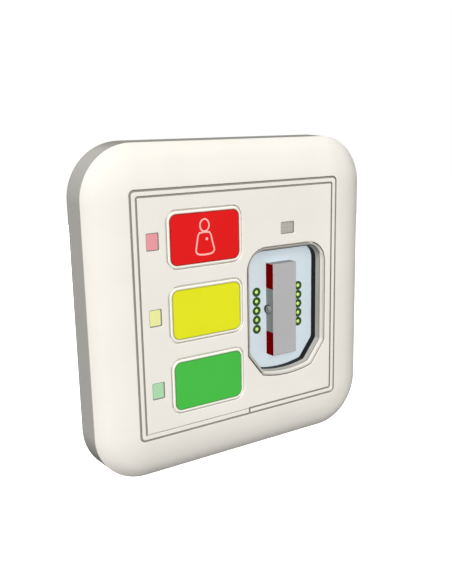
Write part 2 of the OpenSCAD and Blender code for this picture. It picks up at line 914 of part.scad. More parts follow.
module radio_shield() {
    high = board_top + switch_height;
    wide = shield_width;
    tall = shield_height;
    thin = strip_thickness;
    color(steel_colour)
        stand()
            translate([sensor_x - sensor_window_width / 2 - 2 * seam - wide / 2, sensor_z, 0])
                difference() {
                    slab(wide, tall, seam, board_top, high);
                    slab(wide - 2 * thin, tall - 2 * thin, seam / 2, board_top - over, high - thin);
                    for (side = side_names)
                        block(board_top - over, board_top + thin, [-wide, wide],
                            [side * tall / 4 - tall / 10, side * tall / 4 + tall / 10]);
                    for (column = [-1, 0, 1], end = side_names)
                        translate([column * wide / 4, end * tall / 5, 0])
                            rod(lens_radius / 2, high - 2 * thin, high + over);
                }
}

module antenna() {
    width = core_radius;
    step = 4 * core_radius;
    turns = 6;
    tall = contact_pitch;
    low = board_top;
    high = board_top + ring_rise;
    color(steel_colour)
        stand()
            translate([key_x - turns * step / 2, board_side / 2 - tall - 2 * ledge_width, 0]) {
                for (index = [0 : turns])
                    block(low, high, [index * step - width / 2, index * step + width / 2], [0, tall]);
                for (index = [0 : turns - 1])
                    block(low, high, [index * step - width / 2, (index + 1) * step + width / 2],
                        index % 2 == 0 ? [tall - width, tall] : [0, width]);
            }
}

module board_screws() {
    color(steel_colour)
        stand()
            for (side = side_names, end = side_names)
                translate([side * post_offset, end * post_offset, 0])
                    difference() {
                        union() {
                            rod(screw_radius, base_thickness + seam, board_top + over / 2);
                            rod(screw_head_radius, board_top, board_top + screw_head_height);
                        }
                        for (turn = [0, 90])
                            rotate([0, 0, turn])
                                block(board_top + screw_head_height / 2, board_top + screw_head_height + over,
                                    [-screw_head_radius / 2, screw_head_radius / 2],
                                    [-screw_head_radius / 6, screw_head_radius / 6]);
                    }
}

// Plug socket: tub, contact floor, contacts and magnet bar

module socket_tub() {
    color(black_colour)
        stand()
            difference() {
                shield_prism(bevel_width - tub_wall, tub_low, tub_top);
                shield_prism(bevel_width, contact_board_low, tub_top + over);
                for (side = side_names)
                    translate([socket_x + side * contact_offset, socket_z, 0])
                        slab(3 * core_radius, contact_count * contact_pitch, core_radius,
                            tub_low - over, contact_board_low + over);
            }
}

module contact_places(side) {
    for (index = [0 : contact_count - 1])
        translate([socket_x + side * contact_offset,
            socket_z + (index - (contact_count - 1) / 2) * contact_pitch, 0])
            children();
}

module contact_board() {
    color(floor_colour)
        stand()
            difference() {
                shield_prism(bevel_width, contact_board_low, floor_height);
                for (side = side_names)
                    contact_places(side)
                        rod(core_radius, contact_board_low - over, floor_height + over);
            }
}

module contact_rings(side) {
    color([0.18, 0.39, 0])
        stand()
            contact_places(side)
                difference() {
                    rod(ring_outer_radius, floor_height, floor_height + ring_rise);
                    rod(core_radius, floor_height - over, floor_height + ring_rise + over);
                }
}

module contact_cores(side) {
    color([0.75, 0.92, 0.35])
        stand()
            contact_places(side) {
                rod(core_radius, contact_board_low, floor_height + core_rise);
                rod(core_radius / 2, tub_low, contact_board_low + over / 2);
            }
}

module left_contact_rings() {
    contact_rings(-1);
}

module right_contact_rings() {
    contact_rings(1);
}

module left_contact_cores() {
    contact_cores(-1);
}

module right_contact_cores() {
    contact_cores(1);
}

module magnet_space(side, end) {
    block(floor_height, pole_low,
        side > 0 ? [bar_width / 2 - magnet_depth, bar_width / 2] : [-bar_width / 2, magnet_depth - bar_width / 2],
        [end * magnet_middle - magnet_length / 2, end * magnet_middle + magnet_length / 2]);
}

module magnet_bar() {
    color(grey_colour)
        stand()
            translate([socket_x, socket_z, 0])
                difference() {
                    slab(bar_width, bar_length, bar_corner, floor_height, pole_low);
                    for (side = side_names, end = side_names)
                        magnet_space(side, end);
                    translate([-bar_width / 2, 0, stud_height])
                        rotate([0, 90, 0])
                            rod(stud_radius / 2, -over, magnet_depth);
                    for (end = side_names)
                        translate([0, end * magnet_middle, 0])
                            rod(core_radius, floor_height - over, pole_low + over);
                }
}

module pole_plate() {
    color([0.72, 0.72, 0.72])
        stand()
            translate([socket_x, socket_z, 0]) {
                slab(bar_width, bar_length, bar_corner, pole_low, bar_top);
                for (end = side_names)
                    translate([0, end * magnet_middle, 0])
                        rod(core_radius, pole_low - core_radius, pole_low + pole_thickness / 2);
            }
}

module magnet(side, end) {
    color(magnet_colour)
        stand()
            translate([socket_x, socket_z, 0])
                magnet_space(side, end);
}

module upper_left_magnet() {
    magnet(-1, 1);
}

module lower_left_magnet() {
    magnet(-1, -1);
}

module upper_right_magnet() {
    magnet(1, 1);
}

module lower_right_magnet() {
    magnet(1, -1);
}

module coding_stud() {
    straight = stud_reach / 2;
    dome = (stud_radius * stud_radius + straight * straight) / (2 * straight);
    color(grey_colour)
        stand()
            translate([socket_x - bar_width / 2, socket_z, stud_height])
                rotate([0, -90, 0]) {
                    rod(stud_radius / 2, -magnet_depth, 0);
                    intersection() {
                        rod(stud_radius, 0, stud_reach);
                        translate([0, 0, stud_reach - dome])
                            sphere(r = dome);
                    }
                }
}

// Button cells and their spring strips

module cell(end) {
    rim = cell_thickness / 8;
    color(steel_colour)
        stand()
            translate([cell_x, end * cell_z, cell_floor])
                rotate_extrude()
                    polygon([[0, 0], [cell_radius - rim, 0], [cell_radius, rim],
                        [cell_radius, cell_thickness - 2 * rim], [cell_radius - rim, cell_thickness - rim],
                        [cell_radius - 2 * rim, cell_thickness], [0, cell_thickness]]);
}

module cell_strip(end) {
    color([0.8, 0.72, 0.5])
        stand()
            translate([cell_x, end * cell_z, 0])
                difference() {
                    union() {
                        slab(strip_length, strip_width, seam, board_low - strip_thickness, board_low);
                        for (side = side_names)
                            translate([side * strip_length / 4, 0, 0])
                                rod(strip_width / 4, cell_top, board_low - strip_thickness / 2);
                    }
                    slab(strip_length / 4, strip_width / 3, seam, cell_top, board_low + over);
                }
}

module upper_cell() {
    cell(1);
}

module lower_cell() {
    cell(-1);
}

module upper_cell_strip() {
    cell_strip(1);
}

module lower_cell_strip() {
    cell_strip(-1);
}

// Base plate with its well, posts, cell pockets, supports and wall slots

module wall_slot() {
    straight = slot_length / 2 - slot_radius;
    for (side = side_names)
        translate([wall_screw_spacing / 2 + side * straight, 0, 0])
            rod(slot_radius, -over, base_thickness + over);
    block(-over, base_thickness + over,
        [wall_screw_spacing / 2 - straight, wall_screw_spacing / 2 + straight], [-slot_radius, slot_radius]);
}

module well() {
    difference() {
        slab(well_outer, well_outer, panel_corner + seam, base_thickness - over / 2, well_top);
        slab(well_inner, well_inner, panel_corner, -over, well_top + over);
        for (turn = [0, 90])
            rotate([0, 0, turn])
                block(base_thickness, well_top + over, [-well_outer, well_outer], [-well_gap / 2, well_gap / 2]);
        for (turn = [0, 180], place = [-tab_offset, tab_offset])
            rotate([0, 0, turn])
                block(tab_low, tab_low + barb_height + 2 * seam,
                    [place - tab_width / 2 - seam, place + tab_width / 2 + seam], [well_inner / 2 - over, well_outer]);
    }
}

module cell_wall(end) {
    translate([cell_x, end * cell_z, 0])
        difference() {
            rod(cell_radius + seam + well_wall, base_thickness - over / 2, cell_top - seam);
            rod(cell_radius + seam, -over, cell_top + over);
            rotate([0, 0, end * 45])
                block(-over, cell_top + over, [-frame_side, frame_side], [-cell_radius / 2, cell_radius / 2]);
        }
}

module base_plate() {
    color(inner_colour)
        stand()
            difference() {
                union() {
                    slab(base_side, base_side, base_corner, 0, base_thickness);
                    difference() {
                        slab(base_side, base_side, base_corner, base_thickness - over / 2, base_rim_top);
                        slab(base_side - 2 * base_rim, base_side - 2 * base_rim, base_corner - base_rim,
                            -over, base_rim_top + over);
                    }
                    well();
                    for (end = side_names)
                        cell_wall(end);
                    for (side = side_names, end = side_names)
                        translate([side * post_offset, end * post_offset, 0])
                            rod(post_radius, base_thickness - over / 2, board_low);
                    for (place = [-1, 0, 1])
                        block(base_thickness - over / 2, tub_low,
                            [socket_x + place * socket_width / 3 - frame_rib / 2,
                                socket_x + place * socket_width / 3 + frame_rib / 2],
                            [socket_z - socket_height / 4, socket_z + socket_height / 4]);
                }
                for (end = side_names)
                    translate([cell_x, end * cell_z, 0])
                        rod(cell_radius + seam, cell_floor, base_thickness + over);
                for (side = side_names, end = side_names)
                    translate([side * post_offset, end * post_offset, 0])
                        rod(screw_radius, base_thickness + seam, board_low + over);
                for (turn = [0 : 90 : 270])
                    rotate([0, 0, turn])
                        wall_slot();
            }
}

base_plate();
surround_frame();
rim_ring();
front_panel();
socket_bezel();
red_key();
yellow_key();
green_key();
red_key_field();
yellow_key_field();
green_key_field();
red_stem();
yellow_stem();
green_stem();
red_switch();
yellow_switch();
green_switch();
red_window();
yellow_window();
green_window();
sensor_window();
red_lamp();
yellow_lamp();
green_lamp();
light_sensor();
main_board();
radio_shield();
antenna();
board_screws();
socket_tub();
contact_board();
left_contact_rings();
right_contact_rings();
left_contact_cores();
right_contact_cores();
magnet_bar();
pole_plate();
upper_left_magnet();
lower_left_magnet();
upper_right_magnet();
lower_right_magnet();
coding_stud();
upper_cell();
lower_cell();
upper_cell_strip();
lower_cell_strip();
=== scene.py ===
import json
import math

import bmesh
import bpy
from mathutils import Matrix, Vector


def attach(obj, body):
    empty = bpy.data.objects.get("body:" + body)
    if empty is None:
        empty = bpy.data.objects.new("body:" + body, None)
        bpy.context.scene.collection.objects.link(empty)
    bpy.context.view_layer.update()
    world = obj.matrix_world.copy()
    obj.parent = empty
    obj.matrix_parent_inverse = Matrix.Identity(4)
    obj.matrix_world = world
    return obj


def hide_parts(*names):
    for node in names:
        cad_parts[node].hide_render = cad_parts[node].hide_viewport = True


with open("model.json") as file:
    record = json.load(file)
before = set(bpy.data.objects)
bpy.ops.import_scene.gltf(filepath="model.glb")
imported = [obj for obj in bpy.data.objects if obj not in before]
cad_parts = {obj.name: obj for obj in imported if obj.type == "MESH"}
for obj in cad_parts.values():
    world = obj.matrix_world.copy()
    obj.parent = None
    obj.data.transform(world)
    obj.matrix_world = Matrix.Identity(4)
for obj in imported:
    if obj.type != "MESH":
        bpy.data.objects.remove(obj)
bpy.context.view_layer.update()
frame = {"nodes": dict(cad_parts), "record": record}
cadNodes = frame["nodes"]
mm = 0.001
print("frame loaded")


# Outlines are lists of x and z in millimetres, and h is the height above the wall.

def spot(x, z, h):
    return Vector((x * mm, -h * mm, z * mm))


def atHeight(loop, h):
    return [(x, z, h) for x, z in loop]


# Corners are numbered 0 to 3 from the upper right one round by the left.
def cornerArc(number, halfW, halfH, radius, steps=8, x=0.0, z=0.0):
    sideX, sideZ = ((1, 1), (-1, 1), (-1, -1), (1, -1))[number]
    middleX, middleZ = x + sideX * (halfW - radius), z + sideZ * (halfH - radius)
    turns = [math.radians(90 * number + 90 * step / steps) for step in range(steps + 1)]
    return [(middleX + radius * math.cos(turn), middleZ + radius * math.sin(turn)) for turn in turns]


def roundedLoop(width, height, radius, x=0.0, z=0.0, steps=8):
    radius = max(radius, 0.001)  # a sharp corner keeps its points apart
    arcs = [cornerArc(number, width / 2, height / 2, radius, steps, x, z) for number in range(4)]
    return [point for arc in arcs for point in arc]


def squareLoop(half, radius, steps=8):
    return roundedLoop(2 * half, 2 * half, radius, steps=steps)


def circleLoop(radius, x, z, steps=36):
    turns = [math.tau * step / steps for step in range(steps)]
    return [(x + radius * math.cos(turn), z + radius * math.sin(turn)) for turn in turns]


def softEdge(edge, steps=4):  # inset and drop of a rounded upper edge, from the wall to the top
    turns = [math.radians(90 * step / steps) for step in range(steps + 1)]
    return [(edge * (1 - math.cos(turn)), edge * (1 - math.sin(turn))) for turn in turns]


def placed(edge, inset, top):  # an edge's insets and drops, turned into insets and heights
    return [(inset + further, top - drop) for further, drop in edge]


def ringsOf(outline, profile):
    return [atHeight(outline(inset), h) for inset, h in profile]


def softRings(outline, low, high, edge):
    return ringsOf(outline, [(0, low)] + placed(softEdge(edge), 0, high))


def addRings(build, rings, capFirst=True, capLast=True, joined=False):
    rows = [[build.verts.new(spot(*point)) for point in ring] for ring in rings]
    pairs = list(zip(rows, rows[1:]))
    if joined:
        pairs.append((rows[-1], rows[0]))
    for low, high in pairs:
        for index in range(len(low)):
            after = (index + 1) % len(low)
            build.faces.new((low[index], low[after], high[after], high[index]))
    if capFirst and not joined:
        build.faces.new(rows[0])
    if capLast and not joined:
        build.faces.new(rows[-1])
    return rows


def addBox(build, low, high, xs, zs):
    loop = [(xs[0], zs[0]), (xs[1], zs[0]), (xs[1], zs[1]), (xs[0], zs[1])]
    addRings(build, [atHeight(loop, low), atHeight(loop, high)])


def addPlate(build, outlines, low, high, edge, pockets=(), foot=0.0, footTop=0.0):
    upper, lower = [], []

    def collect(row, bucket):
        for index in range(len(row)):
            bucket.append(build.edges.get((row[index], row[(index + 1) % len(row)])))

    for number, outline in enumerate(outlines):
        rings = softRings(outline, low, high, edge)
        if foot and number == 0:  # the outer edge widens below the seam and gives it a floor
            wide = outline(-foot)
            rings[:1] = [atHeight(wide, low), atHeight(wide, footTop), atHeight(outline(0), footTop)]
        rows = addRings(build, rings, capFirst=False, capLast=False)
        collect(rows[0], lower)
        collect(rows[-1], upper)
    for topLoop, lowLoop, depth in pockets:
        rows = addRings(build, [atHeight(topLoop, high), atHeight(lowLoop, high - depth)], capFirst=False)
        collect(rows[0], upper)
    for bucket in (upper, lower):
        bmesh.ops.triangle_fill(build, use_beauty=True, use_dissolve=False, edges=bucket)


def link(made):
    bpy.context.scene.collection.objects.link(made)
    return made


def finishMesh(name, build, sharp=35):
    bmesh.ops.recalc_face_normals(build, faces=build.faces)
    mesh = bpy.data.meshes.new(name)
    build.to_mesh(mesh)
    build.free()
    for polygon in mesh.polygons:
        polygon.use_smooth = True
    mesh.set_sharp_from_angle(angle=math.radians(sharp))
    made = link(bpy.data.objects.new(name, mesh))
    made.modifiers.new("weight", "WEIGHTED_NORMAL").keep_sharp = True
    return made


def loft(name, rings, sharp=35, joined=False):
    build = bmesh.new()
    addRings(build, rings, joined=joined)
    return finishMesh(name, build, sharp)


# Shader maths: a wire is a socket that can be added, multiplied and mixed.

class Wire:
    def __init__(self, book, socket):
        self.book = book
        self.socket = socket

    def out(self, name):
        return Wire(self.book, self.socket.node.outputs[name])

    def math(self, operation, first, second=0.0):
        return self.book.node("ShaderNodeMath", {"operation": operation}, {0: first, 1: second})

    def __add__(self, other):
        return self.math("ADD", self, other)

    def __sub__(self, other):
        return self.math("SUBTRACT", self, other)

    def __mul__(self, other):
        return self.math("MULTIPLY", self, other)

    def __rsub__(self, other):
        return self.math("SUBTRACT", other, self)

    __radd__ = __add__
    __rmul__ = __mul__

    def between(self, low, high):
        return self.book.node("ShaderNodeMapRange", {"interpolation_type": "SMOOTHSTEP"},
                              {"Value": self, "From Min": low, "From Max": high})

    def blend(self, first, second):
        sockets = {0: self, 6: first, 7: second}
        return self.book.node("ShaderNodeMix", {"data_type": "RGBA"}, sockets, output=2)


class NodeBook:
    def __init__(self, tree):
        self.tree = tree

    def node(self, kind, settings=None, sockets=None, output=0):
        made = self.tree.nodes.new(kind)
        for name, value in (settings or {}).items():
            setattr(made, name, value)
        for name, value in (sockets or {}).items():
            self.feed(made.inputs[name], value)
        return Wire(self, made.outputs[output]) if made.outputs else made

    def feed(self, socket, value):
        if isinstance(value, Wire):
            self.tree.links.new(value.socket, socket)
        else:
            socket.default_value = value


class Finish(NodeBook):
    def __init__(self, name, sockets):
        self.material = bpy.data.materials.new(name)
        self.material.use_nodes = True
        super().__init__(self.material.node_tree)
        self.shader = self.tree.nodes["Principled BSDF"]
        self.set(sockets)

    def set(self, sockets):
        for name, value in sockets.items():
            self.feed(self.shader.inputs[name], value)

    def place(self):
        return self.node("ShaderNodeTexCoord", output="Object")

    def along(self, axis):
        return self.node("ShaderNodeSeparateXYZ", None, {0: self.place()}, output=axis)

    def noise(self, scale, detail=3.0, rough=0.5):
        return self.node("ShaderNodeTexNoise", None, {
            "Vector": self.place(), "Scale": scale, "Detail": detail, "Roughness": rough})

    def bump(self, height, strength, distance=0.02 * mm):
        return self.node("ShaderNodeBump", None, {
            "Height": height, "Strength": strength, "Distance": distance})

    def tint(self, sizes, colour):
        cloud = self.noise(sizes["cloud"], detail=4).between(*sizes["spread"])
        return cloud.blend(*(shaded(colour, amount) for amount in sizes["tint"]))

    def gloss(self, sizes, rough, detail):
        return self.noise(sizes["gloss"], detail) * sizes["uneven"] + (rough - sizes["uneven"] / 2)

    def mouldGrain(self, depth):
        return self.bump(self.noise(mouldSizes["grain"], detail=2, rough=0.6), depth)


def linear(red, green, blue):  # a colour as seen on a screen, as amounts of light
    def channel(value):
        value = value / 255
        return value / 12.92 if value <= 0.04045 else ((value + 0.055) / 1.055) ** 2.4
    return (channel(red), channel(green), channel(blue), 1.0)


def shaded(colour, amount):
    return tuple(channel * amount for channel in colour[:3]) + (1.0,)


# Moulded plastic: a cloudy tint of one or two per cent, uneven gloss and the fine grain of the mould
mouldSizes = {
    "cloud": 60, "spread": (0.3, 0.7), "tint": (0.985, 1.015), "gloss": 240, "uneven": 0.10, "grain": 5200,
    "coatRough": 0.15,
}


def plastic(name, colour, rough, grain, shine, coat=0.0):
    made = Finish(name, {
        "Coat Weight": coat, "Coat Roughness": mouldSizes["coatRough"], "Specular IOR Level": shine})
    made.set({"Base Color": made.tint(mouldSizes, colour), "Roughness": made.gloss(mouldSizes, rough, 5),
              "Normal": made.mouldGrain(grain)})
    return made.material


metalSizes = {
    "cloud": 300, "spread": (0.3, 0.7), "tint": (0.94, 1.04), "gloss": 900, "uneven": 0.18,
    "grain": 2600, "depth": 0.04,
}


def metal(name, colour, rough):
    made = Finish(name, {"Metallic": 1.0})
    m = metalSizes
    made.set({"Base Color": made.tint(m, colour), "Roughness": made.gloss(m, rough, 4),
              "Normal": made.bump(made.noise(m["grain"]), m["depth"])})
    return made.material


# Sensor window: a fine square mesh lies behind the clear grey plastic
meshSizes = {
    "pitch": 1.05, "contrast": 0.1, "wave": 0.314, "rough": 0.42, "uneven": 0.1, "grain": 0.02, "shine": 0.4,
}


def meshWindow(name, colour):
    m = meshSizes
    made = Finish(name, {"Specular IOR Level": m["shine"]})
    sockets = {"Vector": made.place(), "Scale": m["wave"] / (m["pitch"] * mm), "Distortion": 0.0}
    lineX, lineZ = (
        made.node("ShaderNodeTexWave", {"bands_direction": way, "wave_profile": "SIN"}, sockets, output="Fac")
        for way in ("X", "Z"))
    weave = (lineX + lineZ) * 0.5
    made.set({
        "Base Color": weave.blend(shaded(colour, 1 - m["contrast"]), shaded(colour, 1 + m["contrast"])),
        "Roughness": m["rough"] - weave * m["uneven"],
        "Normal": made.mouldGrain(m["grain"]),
    })
    return made.material


# Coding stud: round, with painted shade: a dark crescent painted on the half of its face that looks to the
# wall
studSizes = {
    "side": 10.66, "z": -4.0, "h": 7.32, "radius": 1.25, "reach": 0.8, "stem": 0.55, "depth": 2.4,
    "edge": 0.2, "flat": 0.4, "crescent": 0.95, "crescentEdge": 0.1, "grain": 0.02, "rough": 0.4, "shine": 0.2,
}


def studShadeFinish(name, colour, dark):
    s = studSizes
    made = Finish(name, {"Specular IOR Level": s["shine"], "Roughness": s["rough"]})
    light = [(s["side"] - s["reach"]) * mm, -(s["h"] + s["crescent"]) * mm, s["z"] * mm]
    away = made.node(
        "ShaderNodeVectorMath", {"operation": "DISTANCE"}, {0: made.place(), 1: light}, output="Value")
    start, end = ((s["radius"] + side * s["crescentEdge"]) * mm for side in (-1, 1))
    # painted shade: the face turns dark farther than the stud's radius from a point set in front of its middle
    paint = away.between(start, end).blend(colour, dark)
    made.set({"Base Color": paint, "Normal": made.mouldGrain(s["grain"])})
    return made.material


# Side wall: painted shade, paler below and darker above, in soft steps from one height to another
sideShadePaint = {
    "rough": 0.8, "grain": 0.12,
    "steps": [(-40, -31, (217, 214, 207)), (27, 36, (206, 203, 197)), (40.8, 42.8, (176, 173, 167))],
}


def sideShadeFinish(name, colour):
    made = Finish(name, {"Specular IOR Level": 0.0, "Roughness": sideShadePaint["rough"]})
    height = made.along("Z")
    for low, high, above in sideShadePaint["steps"]:
        colour = height.between(low * mm, high * mm).blend(colour, linear(*above))
    made.set({"Base Color": colour, "Normal": made.mouldGrain(sideShadePaint["grain"])})
    return made.material


# Crown: the casing's colour with painted shade, darker towards the right and towards the lower edge
crownShadePaint = {
    "rough": 0.55, "grain": 0.10, "shine": 0.1,
    "toRight": (35, 40.5), "rightShade": 0.87, "toFoot": (-34.5, -41), "footShade": 0.9,
}


def crownShadeFinish(name, colour):
    c = crownShadePaint
    made = Finish(name, {"Specular IOR Level": c["shine"]})
    across = made.along("X")
    toRight = across.between(*(x * mm for x in c["toRight"]))
    toFoot = across.out("Z").between(*(z * mm for z in c["toFoot"]))
    paint = toRight.blend(made.tint(mouldSizes, colour), shaded(colour, c["rightShade"]))
    made.set({"Base Color": toFoot.blend(paint, shaded(colour, c["footShade"])),
              "Roughness": made.gloss(mouldSizes, c["rough"], 5), "Normal": made.mouldGrain(c["grain"])})
    return made.material


plasticLooks = {  # colour, roughness, depth of grain, shine, and a clear coat where there is one
    "casing": ((239, 235, 226), 0.55, 0.1, 0.1),
    # painted shade for the thin dark lines along the side wall
    "side_line_shade": ((176, 173, 167), 0.8, 0.0, 0.0),
    "base": ((214, 212, 204), 0.5, 0.12, 0.4),
    "key_white": ((245, 242, 231), 0.45, 0.04, 0.3),
    "key_red": ((226, 26, 26), 0.5, 0.03, 0.15),
    "key_yellow": ((229, 230, 34), 0.5, 0.03, 0.15),
    "key_green": ((70, 186, 69), 0.5, 0.03, 0.15),
    # painted shade: the darker rims round the coloured fields
    "edge_red": ((160, 26, 28), 0.5, 0.0, 0.15),
    "edge_yellow": ((178, 176, 52), 0.5, 0.0, 0.15),
    "edge_green": ((70, 146, 72), 0.5, 0.0, 0.15),
    "print": ((250, 190, 180), 0.5, 0.0, 0.2),
    "window_red": ((230, 152, 158), 0.3, 0.02, 0.3),
    "window_yellow": ((233, 236, 157), 0.3, 0.02, 0.3),
    "window_green": ((169, 217, 171), 0.3, 0.02, 0.3),
    "lamp_red": ((210, 40, 36), 0.2, 0.05, 0.4, 0.5),
    "lamp_yellow": ((225, 200, 40), 0.2, 0.05, 0.4, 0.5),
    "lamp_green": ((70, 180, 75), 0.2, 0.05, 0.4, 0.5),
    "sensor": ((40, 40, 44), 0.2, 0.05, 0.4, 0.5),
    "board": ((30, 100, 58), 0.4, 0.05, 0.4),
    "tub": ((13, 15, 15), 0.5, 0.08, 0.15),
    # painted shade in seams, grooves and creases, and paler painted shade round the keys
    "gap": ((149, 146, 138), 0.7, 0.0, 0.1),
    "key_gap": ((194, 191, 182), 0.7, 0.0, 0.1),
    # painted shade: darker copies of the casing on the bezel's bevel, its outer rim and the collar
    "bevel": ((222, 218, 208), 0.5, 0.05, 0.3),
    "bevel_rim_shade": ((196, 192, 183), 0.55, 0.05, 0.2),
    "collar": ((188, 185, 177), 0.6, 0.05, 0.2),
    "floor": ((206, 218, 225), 0.4, 0.02, 0.4),
    "ring": ((38, 70, 2), 0.35, 0.02, 0.2),
    "core": ((202, 235, 124), 0.3, 0.02, 0.4),
    "bar": ((176, 176, 177), 0.4, 0.03, 0.3),
    # painted shade: a darker copy of the bar's grey on its sides
    "bar_side_shade": ((136, 141, 138), 0.5, 0.03, 0.2),
    "magnet": ((120, 0, 4), 0.6, 0.02, 0.0),
    "stem": ((45, 45, 48), 0.5, 0.05, 0.4),
}
finishes = {name: plastic(name, linear(*colour), *look) for name, (colour, *look) in plasticLooks.items()}
finishes["crown"] = crownShadeFinish("crown", linear(239, 235, 226))
finishes["side_painted_shade"] = sideShadeFinish("side_painted_shade", linear(238, 235, 228))
finishes["window_grey"] = meshWindow("window_grey", linear(175, 169, 162))
finishes["steel"] = metal("steel", linear(200, 202, 205), rough=0.32)
finishes["strip"] = metal("strip", linear(205, 178, 110), rough=0.3)
finishes["stud"] = studShadeFinish("stud", linear(130, 136, 133), linear(26, 30, 30))
slotOf = {row["node"]: row["material_slot"] for row in frame["record"]["subparts"]}
bodyOf = {name: body for body, names in frame["record"]["behaviour"]["bodies"].items() for name in names}


def dress(piece, slotName):
    piece.data.materials.clear()
    piece.data.materials.append(finishes[slotName])


def paintFaces(piece, finishName, chosen=None):  # chosen gets a face's normal, and its middle in millimetres
    piece.data.materials.append(finishes[finishName])
    slotIndex = len(piece.data.materials) - 1
    for polygon in piece.data.polygons:
        if chosen is None or chosen(polygon.normal, polygon.center / mm):
            polygon.material_index = slotIndex


# How far a face turns to the front decides what it is painted: 0 is an upright wall and 1 a level face.
tilts = {"wall": 0.3, "upright": 0.5, "side": 0.6, "seam": 0.88, "slope": 0.9}
closeBy, touching = 0.1, 0.01  # how near a face's middle lies to a line or a level, in millimetres


def sloping(normal):
    return tilts["upright"] < abs(normal.y) < tilts["slope"]


def upright(normal):
    return abs(normal.y) < tilts["upright"]


def farOut(middle):  # distance from the unit's centre line, measured square
    return max(abs(middle.x), abs(middle.z))


def standFor(piece, nodeName):
    dress(piece, slotOf[nodeName])
    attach(piece, bodyOf[nodeName])
    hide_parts(nodeName)
    return piece


for nodeName, node in cadNodes.items():
    dress(node, slotOf[nodeName])
print("finishes made")

# Surround frame: the profile runs from the wall over the crown, down the collar and back inside.

surroundSizes = {
    "side": 86.0, "corner": 13.95, "lean": 0.4, "face": 10.8, "drop": 3.5, "crown": 36.0, "shoulder": 9.0,
    "wall": 1.8, "collar": 1.4, "ledge": 1.2, "ledgeThick": 1.2, "ring": 3.4, "opening": 63.3, "seam": 0.3,
    "openingCorner": 1.3, "ledgeCorner": 1.0, "collarCorner": 1.4, "edge": 0.28, "wallEdge": 0.12,
    # wallLine and crownLine give the heights of the painted shade lines along the side
    "footShare": 0.07, "footTop": 0.5, "wallLine": (0.1, 0.5), "crownLine": (0.4, 0.02),
    "sideShares": (0.25, 0.5, 0.75, 0.9),
    "lineOut": 0.02, "lineDepth": 0.06, "lineSpan": (0.3, 0.26, 0.08, 0.02),
    "steps": 18, "crownSteps": 22, "squareFrom": 0.6, "innerSteps": 8, "leastCorner": 0.3,
    "sideFrom": 34, "openingTo": 32,  # farther out are crown and side, farther in the opening's wall
}


def crownSurface(inset=0.0):  # height of the crown over the distance from the corner's centre
    s = surroundSizes
    crease, reach, centre = s["face"] - s["drop"], s["corner"] - s["lean"], s["side"] / 2 - s["corner"]
    rim = (s["opening"] - s["seam"]) / 2 - centre
    crownMiddle = s["face"] - math.sqrt(s["crown"] ** 2 - rim ** 2)
    arm = s["crown"] - s["shoulder"]
    rise = crease - crownMiddle
    span = math.hypot(reach, rise)
    turn = math.acos((span ** 2 + arm ** 2 - s["shoulder"] ** 2) / (2 * span * arm))
    blend = math.atan2(reach, rise) - turn
    shoulderX, shoulderH = arm * math.sin(blend), crownMiddle + arm * math.cos(blend)

    def height(distance):
        if distance <= (s["crown"] - inset) * math.sin(blend):
            return crownMiddle + math.sqrt((s["crown"] - inset) ** 2 - max(distance, 0) ** 2)
        away = min(distance - shoulderX, (s["shoulder"] - inset) * 0.999)  # stays just inside the arc
        return shoulderH + math.sqrt((s["shoulder"] - inset) ** 2 - away ** 2)
    return height, centre, reach, crease


def surroundRings():
    s = surroundSizes
    top, centre, reach, crease = crownSurface()
    under = crownSurface(s["wall"])[0]
    opening = s["opening"] / 2 - centre
    collarCorner = s["collarCorner"]
    rings = []

    def flat(distance, h, corner=None):
        corner = corner or max(distance, s["leastCorner"])
        rings.append(atHeight(squareLoop(centre + distance, corner, s["steps"]), h))

    def curved(distance, surface, corner, sink=0.0):
        ring = []
        for x, z in squareLoop(centre + distance, corner, s["steps"]):
            away = (abs(x) - centre, abs(z) - centre)
            ring.append((x, z, surface(math.hypot(*away) if min(away) > 0 else max(away)) - sink))
        rings.append(ring)

    flat(s["corner"] - s["wallEdge"], 0)
    flat(s["corner"], s["wallEdge"])
    flat(s["corner"] - s["lean"] * s["footShare"], s["footTop"])
    for share in s["sideShares"]:
        flat(s["corner"] - s["lean"] * share, crease * share)
    lineIn = reach - s["lineDepth"]
    for distance, drop in zip((reach + s["lineOut"], lineIn, lineIn, reach), s["lineSpan"]):
        flat(distance, crease - drop)  # a fine parting line under the crown
    inner = opening + s["edge"]
    for step in range(s["crownSteps"] + 1):
        share = step / s["crownSteps"]
        distance = lineIn + (inner - lineIn) * share
        square = max(0.0, (share - s["squareFrom"]) / (1 - s["squareFrom"]))
        corner = distance + (s["openingCorner"] + s["edge"] - inner) * square
        curved(distance, top, corner, s["lineSpan"][-1] if step == 0 else 0.0)
    for inset, drop in softEdge(s["edge"])[-2::-1]:
        curved(opening + inset, top, s["openingCorner"] + inset, drop)
    collarLow = s["face"] - s["ring"]
    collarOut = opening + s["collar"]
    flat(opening, collarLow, s["openingCorner"])
    flat(opening - s["ledge"], collarLow, s["ledgeCorner"])
    flat(opening - s["ledge"], collarLow - s["ledgeThick"], s["ledgeCorner"])
    flat(collarOut, collarLow - s["ledgeThick"], collarCorner)
    curved(collarOut, under, collarCorner)
    for step in range(1, s["innerSteps"] + 1):
        share = step / s["innerSteps"]
        distance = collarOut + (reach - s["wall"] - collarOut) * share
        curved(distance, under, max(collarCorner, distance * share + collarCorner * (1 - share)))
    flat(s["corner"] - s["wall"], 0)
    return rings


def onOutside(normal, middle):
    return farOut(middle) > surroundSizes["sideFrom"]


def onSide(normal, middle):
    return onOutside(normal, middle) and abs(normal.y) < tilts["wall"]


